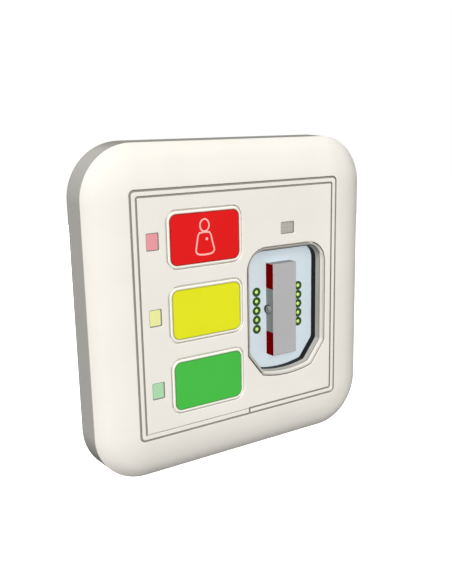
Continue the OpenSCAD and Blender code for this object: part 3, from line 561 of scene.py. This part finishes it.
# painted shade: a thin dark line is painted along the parting line under the crown and along the edge at the
# wall
def onSideEdge(normal, middle):  # the parting line under the crown and the edge at the wall
    s, h = surroundSizes, -middle.y
    (low, high), below = s["wallLine"], s["face"] - s["drop"] - h
    return onOutside(normal, middle) and (low < h < high or s["crownLine"][1] < below < s["crownLine"][0])


def onOpeningWall(normal, middle):
    return abs(normal.y) < tilts["seam"] and farOut(middle) < surroundSizes["openingTo"]


surround = standFor(loft("surround", surroundRings(), sharp=28, joined=True), "surround_frame")
# painted shade on the surround: a darker crown to the right and below, a dark opening wall, a darker side wall
# and thin dark lines along it
paintFaces(surround, "crown", onOutside)
paintFaces(surround, "gap", onOpeningWall)
paintFaces(surround, "side_painted_shade", onSide)
paintFaces(surround, "side_line_shade", onSideEdge)
print("surround made")

# Rim ring: shelf and upright wall, cut away at its lower left for the panel's pry lip

rimSizes = {
    "outer": 31.35, "outerCorner": 1.0, "inner": 30.15, "innerCorner": 0.7, "shelf": 28.65, "face": 10.8,
    "low": 7.4, "shelfTop": 8.2, "shelfLow": 6.2, "shelfCorner": 0.4, "edge": 0.2,
    "notchEnd": 1.6, "notchTop": 8.9, "foot": 0.26, "footTop": 10.45, "lipShare": 0.2, "jointTop": 0.05,
    "tabWidth": 5.0, "tabPlace": 20.0, "tabLow": 3.0, "tabOut": 29.8, "tabThick": 1.2,
    "barb": 0.8, "barbFrom": 0.8, "barbTo": 1.4,
}


def rimLoop(inset):
    r = rimSizes
    outer, outerCorner = r["outer"] - inset, r["outerCorner"] - inset
    inset = max(inset, 0)
    inner, innerCorner = r["inner"] + inset, r["innerCorner"] + inset
    lipSide = r["inner"] + inset * r["lipShare"]  # the lip lies tight against this end
    points = [(r["notchEnd"] + inset, -outer)]
    for number in (3, 0, 1, 2):
        points += cornerArc(number, outer, outer, outerCorner)
    points += [(-lipSide, -outer), (-lipSide, -r["inner"]), (-inner, -r["inner"] + inset)]
    for number in (1, 0, 3):
        points += cornerArc(number, inner, inner, innerCorner)[::-1]
    points.append((r["notchEnd"] + inset, -inner))
    return points


def rimRing():
    r = rimSizes
    build = bmesh.new()
    section = [("outer", "low"), ("outer", "notchTop"), ("inner", "notchTop"), ("inner", "shelfTop"),
               ("shelf", "shelfTop"), ("shelf", "shelfLow"), ("inner", "shelfLow"), ("inner", "low")]
    rings = [atHeight(squareLoop(r[side], r[side + "Corner"]), r[level]) for side, level in section]
    addRings(build, rings, joined=True)
    addPlate(build, [rimLoop], r["notchTop"], r["face"], r["edge"], foot=r["foot"], footTop=r["footTop"])
    for sign in (-1, 1):
        for place in (-r["tabPlace"], r["tabPlace"]):
            xs = (place - r["tabWidth"] / 2, place + r["tabWidth"] / 2)
            inner, outer, barb = (sign * (r["tabOut"] + out) for out in (-r["tabThick"], 0, r["barb"]))
            addBox(build, r["tabLow"], r["shelfLow"], xs, sorted((inner, outer)))
            addBox(build, r["tabLow"] + r["barbFrom"], r["tabLow"] + r["barbTo"], xs, sorted((outer, barb)))
    return finishMesh("rim", build)


# this joint is left out of the painted shade
def besideLip(normal, middle):  # the tight joint between rim and lip stays pale
    inner = rimSizes["inner"]
    beside = abs(middle.x + inner) < closeBy and middle.z < rimSizes["jointTop"] - inner
    return abs(normal.x) > tilts["wall"] and beside


def inSeam(normal, middle):  # upright faces and the seam's floor
    return abs(normal.y) < tilts["seam"] or abs(-middle.y - rimSizes["footTop"]) < touching


rim = standFor(rimRing(), "rim_ring")
# painted shade on the rim's seam faces, but not at the joint beside the lip
paintFaces(rim, "gap", lambda normal, middle: inSeam(normal, middle) and not besideLip(normal, middle))
print("rim made")

# Front panel: a plate with its openings, the pry lip with its crease, skirt and ribs

panelSizes = {
    "half": 29.85, "corner": 0.4, "low": 9.2, "face": 10.8, "edge": 0.2, "edgeFrom": 29.5,
    "foot": 0.26, "footTop": 10.45, "steps": 4,
    "lipEnd": 1.3, "lipEdge": -31.35, "lipLeft": -30.15, "lipShare": 0.2, "lipCorner": 0.1,
    "crease": 0.25, "creaseFloor": 0.04, "creaseEnd": 0.06, "creaseZ": -30.0,
    "keyX": -11.3, "keyPitch": 19.0, "opening": (22.3, 14.9, 2.9),
    "keyDrops": {1: 0.2, 0: 0.2, -1: 0.08},  # how far each key's opening sits below its even pitch
    "keyArea": {"left": -23, "right": 0, "reach": 27},  # holds the three openings
    "windowX": -26.1, "window": (3.4, 4.35), "windowCorner": 0.3, "sensor": (14.6, 18.825, 4.4, 3.25),
    "skirtWall": 1.1, "skirtLow": 8.2, "ribLow": 8.4, "ribHalf": 0.5, "ribRight": 0.4, "ribAbove": 15.1,
    "ribBelow": -23.6,
}
socketSizes = {
    "x": 14.6, "z": -4.25, "width": 26.4, "height": 36.7, "corner": 6.0, "tighter": 1.5, "soft": 0.5,
    "turn": 37.1, "reach": 17.097, "bow": 31.25, "bowSteps": 12, "halvings": 60,  # slants and bowed lower edge
    "bevel": 1.1, "bevelDepth": 0.95, "land": 0.2, "rimEnd": 0.6, "innerLine": 0.3, "seam": 0.3,
    "seamEdge": [(0.0, 0.12), (0.04, 0.04), (0.1, 0.0)],  # inset and drop of the bezel's small soft edges
    "landEdge": [(-0.08, 0.0), (0.02, 0.05)], "footEdge": [(-0.05, -0.06), (0.0, 0.06), (0.0, 0.24)],
    "collarDepth": 2.8, "flange": 0.6, "flangeThick": 0.7, "wall": 1.0,
    "floor": 6.1, "floorEdge": 0.05, "boardLow": 5.1, "tubLow": 4.1,
}


def bentCorner(before, corner, after, radius, steps=4):
    corner = Vector(corner)
    first = (Vector(before) - corner).normalized() * radius
    second = (Vector(after) - corner).normalized() * radius
    shares = [step / steps for step in range(steps + 1)]
    return [tuple(corner + first * (1 - share) ** 2 + second * share ** 2) for share in shares]


def shieldLoop(inset):  # socket outline: round above, slanting below, with a bowed lower edge
    s = socketSizes
    halfW, halfH = s["width"] / 2 - inset, s["height"] / 2 - inset
    radius = s["corner"] - inset * s["tighter"]  # the tub's corners are tighter than the bezel's
    cosine, sine = math.cos(math.radians(s["turn"])), math.sin(math.radians(s["turn"]))
    reach, bow = s["reach"] - inset, s["bow"] - inset
    bowMiddle = s["bow"] - s["height"] / 2

    def onSlant(x):
        return (cosine * x - reach) / sine

    def onBow(x):
        return bowMiddle - math.sqrt(bow ** 2 - x ** 2)

    inner, outer = 0.0, halfW  # halved until they meet where the slant ends in the bow
    for _ in range(s["halvings"]):
        middle = (inner + outer) / 2
        inner, outer = (middle, outer) if onSlant(middle) < onBow(middle) else (inner, middle)
    upper, lower = (halfW, onSlant(halfW)), (inner, onBow(inner))
    upperLeft, lowerLeft = (-halfW, upper[1]), (-inner, lower[1])
    right, left = (cornerArc(number, halfW, halfH, radius) for number in (0, 1))
    bowXs = [-inner + 2 * inner * step / s["bowSteps"] for step in range(1, s["bowSteps"])]
    bowPoints = [(x, onBow(x)) for x in bowXs]
    points = right + left
    points += bentCorner(left[-1], upperLeft, lowerLeft, s["soft"])
    points += bentCorner(upperLeft, lowerLeft, bowPoints[0], s["soft"])
    points += bowPoints
    points += bentCorner(bowPoints[-1], lower, upper, s["soft"])
    points += bentCorner(lower, upper, right[0], s["soft"])
    return [(x + s["x"], z + s["z"]) for x, z in points]


def keyZ(row):  # rows run from 1 above to -1 below
    return row * panelSizes["keyPitch"] - panelSizes["keyDrops"][row]


def panelLoop(inset):
    p = panelSizes
    half, corner, lipCorner = p["half"] - inset, p["corner"], p["lipCorner"]
    lipLow, lipRight = p["lipEdge"] + inset, p["lipEnd"] - inset
    lipLeft = p["lipLeft"] + inset * p["lipShare"]
    points = cornerArc(0, half, half, corner, p["steps"]) + cornerArc(1, half, half, corner, p["steps"])
    points += [(-half, p["lipLeft"] - inset), (lipLeft, p["lipLeft"] - inset), (lipLeft, lipLow)]
    points += cornerArc(3, 0, 0, lipCorner, p["steps"], lipRight, lipLow)
    points.append((lipRight, -half))
    return points + cornerArc(3, half, half, corner, p["steps"])


def frontPanel():
    p, s = panelSizes, socketSizes
    outlines = [panelLoop, lambda inset: shieldLoop(-s["seam"] / 2 - inset)]

    def windowLoop(inset, x, z, width, height):
        return roundedLoop(width + inset, height + inset, p["windowCorner"] + inset / 2, x, z, p["steps"])

    def openingLoop(inset, row):
        width, height, corner = p["opening"]
        return roundedLoop(width + 2 * inset, height + 2 * inset, corner + inset, p["keyX"], keyZ(row))

    for row in (1, 0, -1):
        place = (p["windowX"], row * p["keyPitch"], *p["window"])
        outlines.append(lambda inset, row=row: openingLoop(inset, row))
        outlines.append(lambda inset, place=place: windowLoop(inset, *place))
    outlines.append(lambda inset: windowLoop(inset, *p["sensor"]))

    def creaseLoop(wide):
        end = p["edge"] + p["creaseEnd"]
        left, right = end - p["half"], p["lipEnd"] - end
        low, high = p["creaseZ"] - wide / 2, p["creaseZ"] + wide / 2
        return [(left, low), (right, low), (right, high), (left, high)]

    build = bmesh.new()
    crease = (creaseLoop(p["crease"]), creaseLoop(p["creaseFloor"]), p["crease"] / 2)
    addPlate(build, outlines, p["low"], p["face"], p["edge"], [crease], p["foot"], p["footTop"])
    half, wall, low, high = p["half"], p["skirtWall"], p["skirtLow"], p["low"]
    inner, ribLow, ribHalf = half - wall, p["ribLow"], p["ribHalf"]
    for near, far in ((inner, half), (-half, -inner)):
        addBox(build, low, high, (-half, half), (near, far))
    for near, far in ((-half, -inner), (inner, half)):
        addBox(build, low, high, (near, far), (-inner, inner))
    for sign in (-1, 1):  # stiffening ribs behind the face
        ribZ, ribX = sign * p["keyPitch"] / 2, s["x"] + sign * s["width"] / 4
        addBox(build, ribLow, high, (-inner, p["ribRight"]), (ribZ - ribHalf, ribZ + ribHalf))
        addBox(build, ribLow, high, (ribX - ribHalf, ribX + ribHalf), (p["ribAbove"], inner))
    addBox(build, ribLow, high, (s["x"] - ribHalf, s["x"] + ribHalf), (-inner, p["ribBelow"]))
    return finishMesh("panel", build)


panel = standFor(frontPanel(), "front_panel")


def onPanelEdge(normal, middle):
    outer = farOut(middle) > panelSizes["edgeFrom"]
    return (upright(normal) or outer and inSeam(normal, middle)) and not besideLip(normal, middle)


def inCrease(normal, middle):
    slanting = tilts["upright"] < abs(normal.z) < tilts["slope"]
    return slanting and abs(normal.x) < closeBy and abs(middle.z - panelSizes["creaseZ"]) < closeBy


def onKeyOpening(normal, middle):
    area = panelSizes["keyArea"]
    return upright(normal) and area["left"] < middle.x < area["right"] and abs(middle.z) < area["reach"]


# painted shade on the panel's edge and seam, in the crease and round the key openings
paintFaces(panel, "gap", onPanelEdge)
paintFaces(panel, "gap", inCrease)
paintFaces(panel, "key_gap", onKeyOpening)
# the right-hand walls of the key openings keep the casing's own colour, without painted shade
paintFaces(panel, "casing", lambda normal, middle: (
    onKeyOpening(normal, middle) and normal.x < -tilts["side"]))  # right-hand walls, which face the light
print("panel made")

# Bezel: a narrow land, the bevel and the collar that lines the socket

# where painted shade goes on the bezel
bezelShadePaint = {"bevelLow": 9.5, "rimDrop": 0.36, "upper": -0.35, "lineMargin": 0.05, "footDrop": 0.25}


def bezelRings():
    s = socketSizes
    face, panelLow = panelSizes["face"], panelSizes["low"]
    near, deep, bevel = s["seam"] / 2, face - s["collarDepth"], s["bevel"]
    foot, start = face - s["bevelDepth"], near + s["land"]
    startDrop, endRise = s["landEdge"][-1][1], -s["footEdge"][0][1]

    def onSlope(inset):
        steepness = (s["bevelDepth"] - startDrop - endRise) / (bevel - start)
        return inset, face - startDrop - (inset - start) * steepness

    rows = [(bevel - s["wall"], deep), (-s["flange"], panelLow - s["flangeThick"]),
            (-s["flange"], panelLow), (near, panelLow)]
    rows += placed(s["seamEdge"], near, face) + placed(s["landEdge"], start, face)
    rows += [onSlope(s["rimEnd"]), onSlope(bevel - s["innerLine"])]
    rows += placed(s["footEdge"], bevel, foot) + [(bevel, deep)]
    return ringsOf(shieldLoop, rows)


def facesSocket(normal, middle):
    return normal.x * (socketSizes["x"] - middle.x) + normal.z * (socketSizes["z"] - middle.z) > 0


def onBevel(normal, middle):
    return sloping(normal) and -middle.y > bezelShadePaint["bevelLow"]


def onBevelRim(normal, middle):
    return not upright(normal) and -middle.y > panelSizes["face"] - bezelShadePaint["rimDrop"]


def onUpperBevel(normal, middle):  # looks down, away from the light
    return sloping(normal) and normal.z < bezelShadePaint["upper"]


def onInnerLine(normal, middle):
    s = socketSizes
    lineTop = panelSizes["face"] - s["bevelDepth"] * (1 - s["innerLine"] / s["bevel"])
    return onUpperBevel(normal, middle) and -middle.y < lineTop + bezelShadePaint["lineMargin"]


def onCollar(normal, middle):
    return abs(normal.y) < tilts["wall"] and facesSocket(normal, middle)


def onBevelFoot(normal, middle):  # a thin dark line between the bevel and the collar
    foot = panelSizes["face"] - socketSizes["bevelDepth"]
    return upright(normal) and facesSocket(normal, middle) and -middle.y > foot - bezelShadePaint["footDrop"]


bezel = standFor(loft("bezel", bezelRings(), sharp=30, joined=True), "socket_bezel")
# painted shade on the bezel: dark seam walls, darker bevel and rim, a dark inner line and foot line, a darker
# collar; the upper bevel keeps the casing's own colour
paintFaces(bezel, "gap", lambda normal, middle: upright(normal) and not facesSocket(normal, middle))
paintFaces(bezel, "bevel", onBevel)
paintFaces(bezel, "bevel_rim_shade", onBevelRim)
paintFaces(bezel, "casing", onUpperBevel)
paintFaces(bezel, "gap", onInnerLine)
paintFaces(bezel, "collar", onCollar)
paintFaces(bezel, "gap", onBevelFoot)
print("bezel made")

# Socket: black tub, pale floor, ringed contacts, magnet bar and coding stud

contactSizes = {
    "count": 5, "pitch": 2.65, "offset": 7.2,
    "ring": 1.31, "ringRise": 0.12, "ringEdge": 0.05, "edgeShare": 0.6,
    "core": 0.52, "coreRise": 0.2, "coreGap": 0.06,
    "dome": [(1.0, 0.14), (0.93, 0.08), (0.7, 0.02), (0.35, 0.0), (0.1, 0.0)],  # share of the core and drop
}
barSizes = {
    "x": 14.66, "z": -4.17, "width": 8.0, "length": 26.06, "corner": 0.3,
    "top": 9.4, "pole": 0.4, "edge": 0.18,
    "magnetEnds": {1: 6.03, -1: 6.28},  # where the upper and lower magnets start, from the bar's middle
    "magnetDepth": 2.4, "magnetCorner": 0.06,
}


def socketTub():
    s = socketSizes
    top = panelSizes["face"] - s["collarDepth"]
    outer = s["bevel"] - s["wall"]
    rows = [(outer, s["tubLow"]), (outer, top), (s["bevel"], top), (s["bevel"], s["boardLow"])]
    return loft("tub", ringsOf(shieldLoop, rows))


def contactFloor():
    s = socketSizes
    return loft("contact_floor", softRings(lambda inset: shieldLoop(s["bevel"] + inset),
                                           s["boardLow"], s["floor"], s["floorEdge"]))


standFor(socketTub(), "socket_tub")
standFor(contactFloor(), "contact_board")


def contactPlaces(side):
    c = contactSizes
    x, z = socketSizes["x"] + side * c["offset"], socketSizes["z"]
    return [(x, z + (index - (c["count"] - 1) / 2) * c["pitch"]) for index in range(c["count"])]


def turned(name, places, profile, sharp=35, joined=False):  # the same round piece at each place
    build = bmesh.new()
    for x, z in places:
        addRings(build, [atHeight(circleLoop(radius, x, z), h) for radius, h in profile], joined=joined)
    return finishMesh(name, build, sharp)


def ringProfile():
    c, low = contactSizes, socketSizes["floor"]
    ring, core, top = c["ring"], c["core"], low + c["ringRise"]
    edgeLow = low + c["ringRise"] * c["edgeShare"]
    return [(ring, low), (ring, edgeLow), (ring - c["ringEdge"], top), (core + c["coreGap"], top),
            (core, edgeLow), (core, low)]


def coreProfile():
    core, boardLow = contactSizes["core"], socketSizes["boardLow"]
    top = socketSizes["floor"] + contactSizes["coreRise"]
    profile = [(core / 2, socketSizes["tubLow"]), (core / 2, boardLow), (core, boardLow)]
    return profile + [(core * share, top - drop) for share, drop in contactSizes["dome"]]


def sideMagnet(name, side, end):
    b = barSizes
    length = b["length"] / 2 - b["magnetEnds"][end]
    z = b["z"] + end * (b["length"] / 2 - length / 2)
    x = b["x"] + side * (b["width"] / 2 - b["magnetDepth"] / 2)
    outline = roundedLoop(b["magnetDepth"], length, b["magnetCorner"], x, z, 2)
    return loft(name, [atHeight(outline, socketSizes["floor"]), atHeight(outline, b["top"] - b["pole"])])


for side, sideName in ((-1, "left"), (1, "right")):
    places = contactPlaces(side)
    standFor(turned(sideName + "_rings", places, ringProfile(), joined=True), sideName + "_contact_rings")
    standFor(turned(sideName + "_cores", places, coreProfile(), sharp=50), sideName + "_contact_cores")
    for end, endName in ((-1, "lower"), (1, "upper")):
        magnetName = endName + "_" + sideName
        magnet = standFor(sideMagnet(magnetName, side, end), magnetName + "_magnet")
        # the magnet's end face is grey like the bar, in the darker tone that is painted shade
        paintFaces(magnet, "bar_side_shade", lambda normal, middle: normal.z * end > tilts["side"])


def barBody():  # a block with its four corners cut out for the magnets
    b = barSizes
    halfW, halfL = b["width"] / 2, b["length"] / 2
    deep = halfW - b["magnetDepth"]
    upper, lower = (
        [(halfW, end * b["magnetEnds"][end]), (deep, end * b["magnetEnds"][end]), (deep, end * halfL)]
        for end in (1, -1))
    outline = upper + [(-x, z) for x, z in upper[::-1]] + [(-x, z) for x, z in lower] + lower[::-1]
    outline = [(x + b["x"], z + b["z"]) for x, z in outline]
    heights = (socketSizes["floor"], b["top"] - b["pole"])
    return loft("bar_body", [atHeight(outline, h) for h in heights])


def poleLoop(inset):  # with a point on each long side where a magnet ends
    b = barSizes
    x, z, halfW = b["x"], b["z"], b["width"] / 2 - inset
    above, below = z + b["magnetEnds"][1], z - b["magnetEnds"][-1]
    loop = roundedLoop(2 * halfW, b["length"] - 2 * inset, b["corner"], x, z)
    half = len(loop) // 2
    left, right = [(x - halfW, above), (x - halfW, below)], [(x + halfW, below), (x + halfW, above)]
    return loop[:half] + left + loop[half:] + right


def onLongSide(normal, middle):
    return abs(normal.x) > tilts["side"]


def besideMagnet(normal, middle):
    away = middle.z - barSizes["z"]
    return onLongSide(normal, middle) and abs(away) > barSizes["magnetEnds"][1 if away > 0 else -1]


body = standFor(barBody(), "magnet_bar")
# painted shade: the bar body and the pole plate's long sides darker than the front; beside the magnets the
# plate's sides take the magnets' red
paintFaces(body, "bar_side_shade")
poleRings = softRings(poleLoop, barSizes["top"] - barSizes["pole"], barSizes["top"], barSizes["edge"])
poleFace = standFor(loft("pole_face", poleRings), "pole_plate")
paintFaces(poleFace, "bar_side_shade", onLongSide)
paintFaces(poleFace, "magnet", besideMagnet)


def codingStud():
    s = studSizes
    stem, radius, reach = s["stem"], s["radius"], s["reach"]
    rows = [(stem, -s["depth"]), (stem, 0), (radius, 0), (radius, reach - s["edge"])]
    rows += [(radius - inset, reach - drop) for inset, drop in softEdge(s["edge"])[1:]]
    rows.append((radius * s["flat"], reach))
    rings = [[(s["side"] - out, z, h) for z, h in circleLoop(wide, s["z"], s["h"])] for wide, out in rows]
    return loft("stud", rings, sharp=50)


stud = standFor(codingStud(), "coding_stud")
paintFaces(stud, "stud")
print("socket made")

# Keys: white caps with flange and hollow, coloured fields with a faint crown, and the call figure

keySizes = {
    "width": 21.7, "height": 14.3, "corner": 2.6, "top": 11.0, "edge": 0.35, "wall": 1.2, "roofLow": 9.5,
    "flange": 0.9, "flangeLow": 8.4, "flangeTop": 9.2, "foot": 0.2, "footTop": 10.35,
    # the dark paint on a cap's wall is painted shade in the gap round the key
    "gapLow": 9.3, "gapTop": 10.76, "gapMargin": 0.05,  # between these heights a cap's wall is painted dark
    "border": 0.62, "borderEdge": [(-0.08, 0.0), (-0.02, 0.04), (0.0, 0.1)],  # inset and drop
    "seat": 1.5, "fieldLow": 10.4, "groove": 0.1, "grooveDepth": 0.25, "grooveTop": 0.16,
    "fieldEdge": [(0.0, 0.12), (0.04, 0.07), (0.14, 0.05)], "rimInset": 0.36,
    "fieldCrown": [(0.36, 0.045), (1.2, 0.03), (3.0, 0.02)], "leastCorner": 0.4,
}


def keyLoop(row, inset, leastCorner=0.0):
    k = keySizes
    width, height = k["width"] - 2 * inset, k["height"] - 2 * inset
    corner = max(k["corner"] - inset, leastCorner)
    return roundedLoop(width, height, corner, panelSizes["keyX"], keyZ(row))


def keyCap(name, row):
    k = keySizes
    rows = [(-k["flange"], k["flangeLow"]), (-k["flange"], k["flangeTop"]), (-k["foot"], k["flangeTop"]),
            (-k["foot"], k["footTop"]), (0, k["footTop"])]
    rows += placed(softEdge(k["edge"], steps=5), 0, k["top"]) + placed(k["borderEdge"], k["border"], k["top"])
    rows += [(k["border"], k["fieldLow"]), (k["border"] + k["seat"], k["fieldLow"])]
    inner = [(-k["flange"], k["flangeLow"]), (k["wall"], k["flangeLow"]), (k["wall"], k["roofLow"])]
    build = bmesh.new()
    for profile in (rows, inner):
        addRings(build, ringsOf(lambda inset: keyLoop(row, inset), profile), capFirst=False)
    bmesh.ops.remove_doubles(build, verts=build.verts, dist=0.0001 * mm)
    return finishMesh(name, build)


def keyField(name, row):
    k = keySizes
    top = k["top"]
    rows = [(0, k["fieldLow"]), (0, top - k["grooveDepth"]), (k["groove"], top - k["grooveDepth"])]
    rows += placed(k["fieldEdge"], k["groove"], top) + placed(k["fieldCrown"], 0, top)
    return loft(name, ringsOf(lambda inset: keyLoop(row, k["border"] + inset, k["leastCorner"]), rows))


# where the painted shade round a field's edge goes
def nearFieldEdge(middle, row):
    k = keySizes
    awayX = abs(middle.x - panelSizes["keyX"]) - k["width"] / 2 + k["corner"]
    awayZ = abs(middle.z - keyZ(row)) - k["height"] / 2 + k["corner"]
    return math.hypot(max(awayX, 0), max(awayZ, 0)) > k["corner"] - k["border"] - k["rimInset"]


def besideKey(normal, middle, row):  # the gap round a cap: its floor and the foot of the cap's wall
    k = keySizes
    awayX = abs(middle.x - panelSizes["keyX"]) - k["width"] / 2
    away = max(awayX, abs(middle.z - keyZ(row)) - k["height"] / 2)
    outside = away > -k["gapMargin"] or abs(normal.y) < tilts["wall"]
    return k["gapLow"] < -middle.y < k["gapTop"] and outside


def inFieldGroove(normal, middle):
    return -middle.y < keySizes["top"] - keySizes["grooveTop"]


keyRows = ((1, "red"), (0, "yellow"), (-1, "green"))
for row, colourName in keyRows:
    cap = standFor(keyCap(colourName + "_cap", row), colourName + "_key")
    # painted shade in the gap round each cap and in each field's groove, and a darker painted rim round each
    # field
    paintFaces(cap, "key_gap", lambda normal, middle: besideKey(normal, middle, row))
    field = standFor(keyField(colourName + "_field", row), colourName + "_key_field")
    paintFaces(field, "edge_" + colourName, lambda normal, middle: nearFieldEdge(middle, row))
    paintFaces(field, "key_gap", inFieldGroove)

figureSizes = {
    "x": -11.55, "head": (21.85, 1.32, 1.55), "headSteps": 32, "stroke": 0.42,
    "dot": (0.38, -10.95, 18.35), "dotSteps": 20, "lowDrop": 0.035, "highDrop": 0.002,
    "body": [(-13.1, 20.0), (-11.5, 20.15), (-10.2, 20.0), (-9.75, 19.4), (-9.3, 17.4), (-8.9, 16.0),
             (-8.8, 15.4), (-9.15, 14.8), (-9.9, 14.5), (-11.6, 14.4), (-13.2, 14.55), (-13.95, 14.9),
             (-14.2, 15.5), (-14.1, 16.2), (-13.85, 17.5), (-13.5, 19.4)],
}


def addStroke(build, points, width, low, high):  # a closed line with a square section
    left, right = [], []
    for index, point in enumerate(points):
        along = (Vector(points[(index + 1) % len(points)]) - Vector(points[index - 1])).normalized()
        across = Vector((-along.y, along.x)) * width / 2
        left.append((point[0] + across.x, point[1] + across.y))
        right.append((point[0] - across.x, point[1] - across.y))
    section = [atHeight(left, low), atHeight(left, high), atHeight(right, high), atHeight(right, low)]
    addRings(build, section, joined=True)


def callFigure():
    f = figureSizes
    build = bmesh.new()
    low, high = keySizes["top"] - f["lowDrop"], keySizes["top"] - f["highDrop"]
    z, halfW, halfH = f["head"]
    turns = [math.tau * step / f["headSteps"] for step in range(f["headSteps"])]
    head = [(f["x"] + halfW * math.cos(turn), z + halfH * math.sin(turn)) for turn in turns]
    for line in (head, f["body"]):
        addStroke(build, line, f["stroke"], low, high)
    addRings(build, [atHeight(circleLoop(*f["dot"], f["dotSteps"]), h) for h in (low, high)])
    return finishMesh("call_figure", build)


figure = callFigure()
figure.data.materials.append(finishes["print"])
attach(figure, "red_key_unit")
print("keys made")

# Signal windows: light guides, sunk a little below the panel's face, with a fine groove round them

guideSizes = {
    "low": 7.4, "footLow": 8.6, "footTop": 9.2, "foot": 0.8, "corner": 0.3,
    "groove": 0.2, "depth": 0.5, "grooveMargin": 0.05, "sink": 0.3,
    "softEdge": [(0.0, 0.07), (0.03, 0.02), (0.1, 0.0)],  # inset and drop
}


def lightGuide(name, x, z, width, height):
    g, face = guideSizes, panelSizes["face"]
    rows = [(0, 0, g["low"]), (0, 0, g["footLow"]), (0, g["foot"], g["footLow"]),
            (0, g["foot"], g["footTop"]), (0, 0, g["footTop"]), (0, 0, face - g["depth"]),
            (g["groove"], 0, face - g["depth"])]
    rows += [(g["groove"] + inset, 0, face - g["sink"] - drop) for inset, drop in g["softEdge"]]
    rings = []
    for inset, foot, h in rows:
        loop = roundedLoop(width - 2 * inset, height - 2 * inset + 2 * foot, g["corner"], x, z, steps=4)
        rings.append(atHeight(loop, h))
    return loft(name, rings)


def inGroove(normal, middle):
    g = guideSizes
    return upright(normal) or -middle.y < panelSizes["face"] - g["depth"] + g["grooveMargin"]


guides = [
    (colourName, colourName, (panelSizes["windowX"], row * panelSizes["keyPitch"], *panelSizes["window"]))
    for row, colourName in keyRows]
for colourName, nodeName, place in guides + [("grey", "sensor", panelSizes["sensor"])]:
    guide = standFor(lightGuide(colourName + "_guide", *place), nodeName + "_window")
    # painted shade in the groove round each window
    paintFaces(guide, "gap", inGroove)
print("windows made")

# Studio: two lamps at one place, of which the stronger throws no shadow, a weak lamp behind the unit,
# and a white floor and backdrop

studio = {
    "lights": {
        "key_light": {"place": (-1.38, -2.91, 1.86), "size": 1.8, "power": 36.0},
        "soft_light": {"place": (-1.38, -2.91, 1.86), "size": 1.8, "power": 138.0, "shadow": False},
        "back_light": {"place": (0.62, 1.35, 0.1), "size": 0.5, "power": 26.0},
    },
    "ambient": 0.015, "floorLevel": -0.17, "floorHalf": 2.0,
    "floorGlow": 0.93, "floorPaint": 0.8, "floorBounce": 0.06, "floorRough": 0.9,
}


def areaLight(name, place, size, power, shadow=True):
    data = bpy.data.lights.new(name, "AREA")
    data.shape = "DISK"
    data.size = size
    data.energy = power
    data.use_shadow = shadow
    light = link(bpy.data.objects.new(name, data))
    light.location = place
    light.rotation_mode = "QUATERNION"
    light.rotation_quaternion = (-Vector(place)).to_track_quat("-Z", "Y")


for lightName, settings in studio["lights"].items():
    areaLight(lightName, **settings)


def showsWhite(book):  # seen directly, mirrored or through glass
    rays = book.node("ShaderNodeLightPath")
    seen = rays.out("Is Camera Ray") + rays.out("Is Glossy Ray") + rays.out("Is Transmission Ray")
    return seen.math("MINIMUM", seen, 1.0)


world = bpy.data.worlds.new("studio")
bpy.context.scene.world = world
world.use_nodes = True
world.node_tree.nodes.clear()
sky = NodeBook(world.node_tree)
ambient, backdrop = (
    sky.node("ShaderNodeBackground", None, {"Color": (1, 1, 1, 1), "Strength": strength})
    for strength in (studio["ambient"], 1.0))
skyMix = sky.node("ShaderNodeMixShader", None, {0: showsWhite(sky), 1: ambient, 2: backdrop})
sky.node("ShaderNodeOutputWorld", None, {"Surface": skyMix})

half = studio["floorHalf"]
floorMesh = bpy.data.meshes.new("floor")
corners = [(-half, -half, 0), (half, -half, 0), (half, half, 0), (-half, half, 0)]
floorMesh.from_pydata(corners, [], [(0, 1, 2, 3)])
floor = link(bpy.data.objects.new("floor", floorMesh))
floor.location = (0, 0, studio["floorLevel"])
paint, bounce = studio["floorPaint"], studio["floorBounce"]
floorFinish = Finish("floor_paint", {
    "Roughness": studio["floorRough"], "Specular IOR Level": 0.0, "Base Color": (paint, paint, paint, 1),
    "Emission Color": (1, 1, 1, 1), "Emission Strength": studio["floorGlow"]})
plainFloor = floorFinish.node("ShaderNodeBsdfDiffuse", None, {"Color": (bounce, bounce, bounce, 1)})
floorMix = floorFinish.node("ShaderNodeMixShader", None, {
    0: showsWhite(floorFinish), 1: plainFloor, 2: Wire(floorFinish, floorFinish.shader.outputs[0])})
floorFinish.feed(floorFinish.tree.nodes["Material Output"].inputs["Surface"], floorMix)
floor.data.materials.append(floorFinish.material)
print("studio made")

# Camera, solved from the photo's straight edges

cameraSizes = {
    "turn": -32.301, "rise": 12.986, "roll": -1.195, "distance": 189.765, "target": (-5.477, -10.8, 3.797),
    "focal": 729.279, "long": 584,  # in pixels, as the photo's longer side
    "film": 36.0, "nearest": 0.01, "farthest": 50.0,
}


def makeCamera():
    c = cameraSizes
    turn, rise, roll = (math.radians(c[key]) for key in ("turn", "rise", "roll"))
    back = Vector((math.sin(turn) * math.cos(rise), -math.cos(turn) * math.cos(rise), math.sin(rise)))
    right = (-back).cross(Vector((0, 0, 1))).normalized()
    up = right.cross(-back).normalized()
    rolledRight = right * math.cos(roll) + up * math.sin(roll)
    rolledUp = up * math.cos(roll) - right * math.sin(roll)
    data = bpy.data.cameras.new("camera")
    data.sensor_width = c["film"]
    data.sensor_fit = "AUTO"
    data.lens = c["focal"] * c["film"] / c["long"]
    data.clip_start = c["nearest"]
    data.clip_end = c["farthest"]
    camera = link(bpy.data.objects.new("camera", data))
    place = (Vector(c["target"]) + back * c["distance"]) * mm
    axes = Matrix((rolledRight, rolledUp, back)).transposed()
    camera.matrix_world = Matrix.Translation(place) @ axes.to_4x4()
    bpy.context.scene.camera = camera


makeCamera()
bpy.context.scene.view_settings.view_transform = "Standard"
print("camera set")
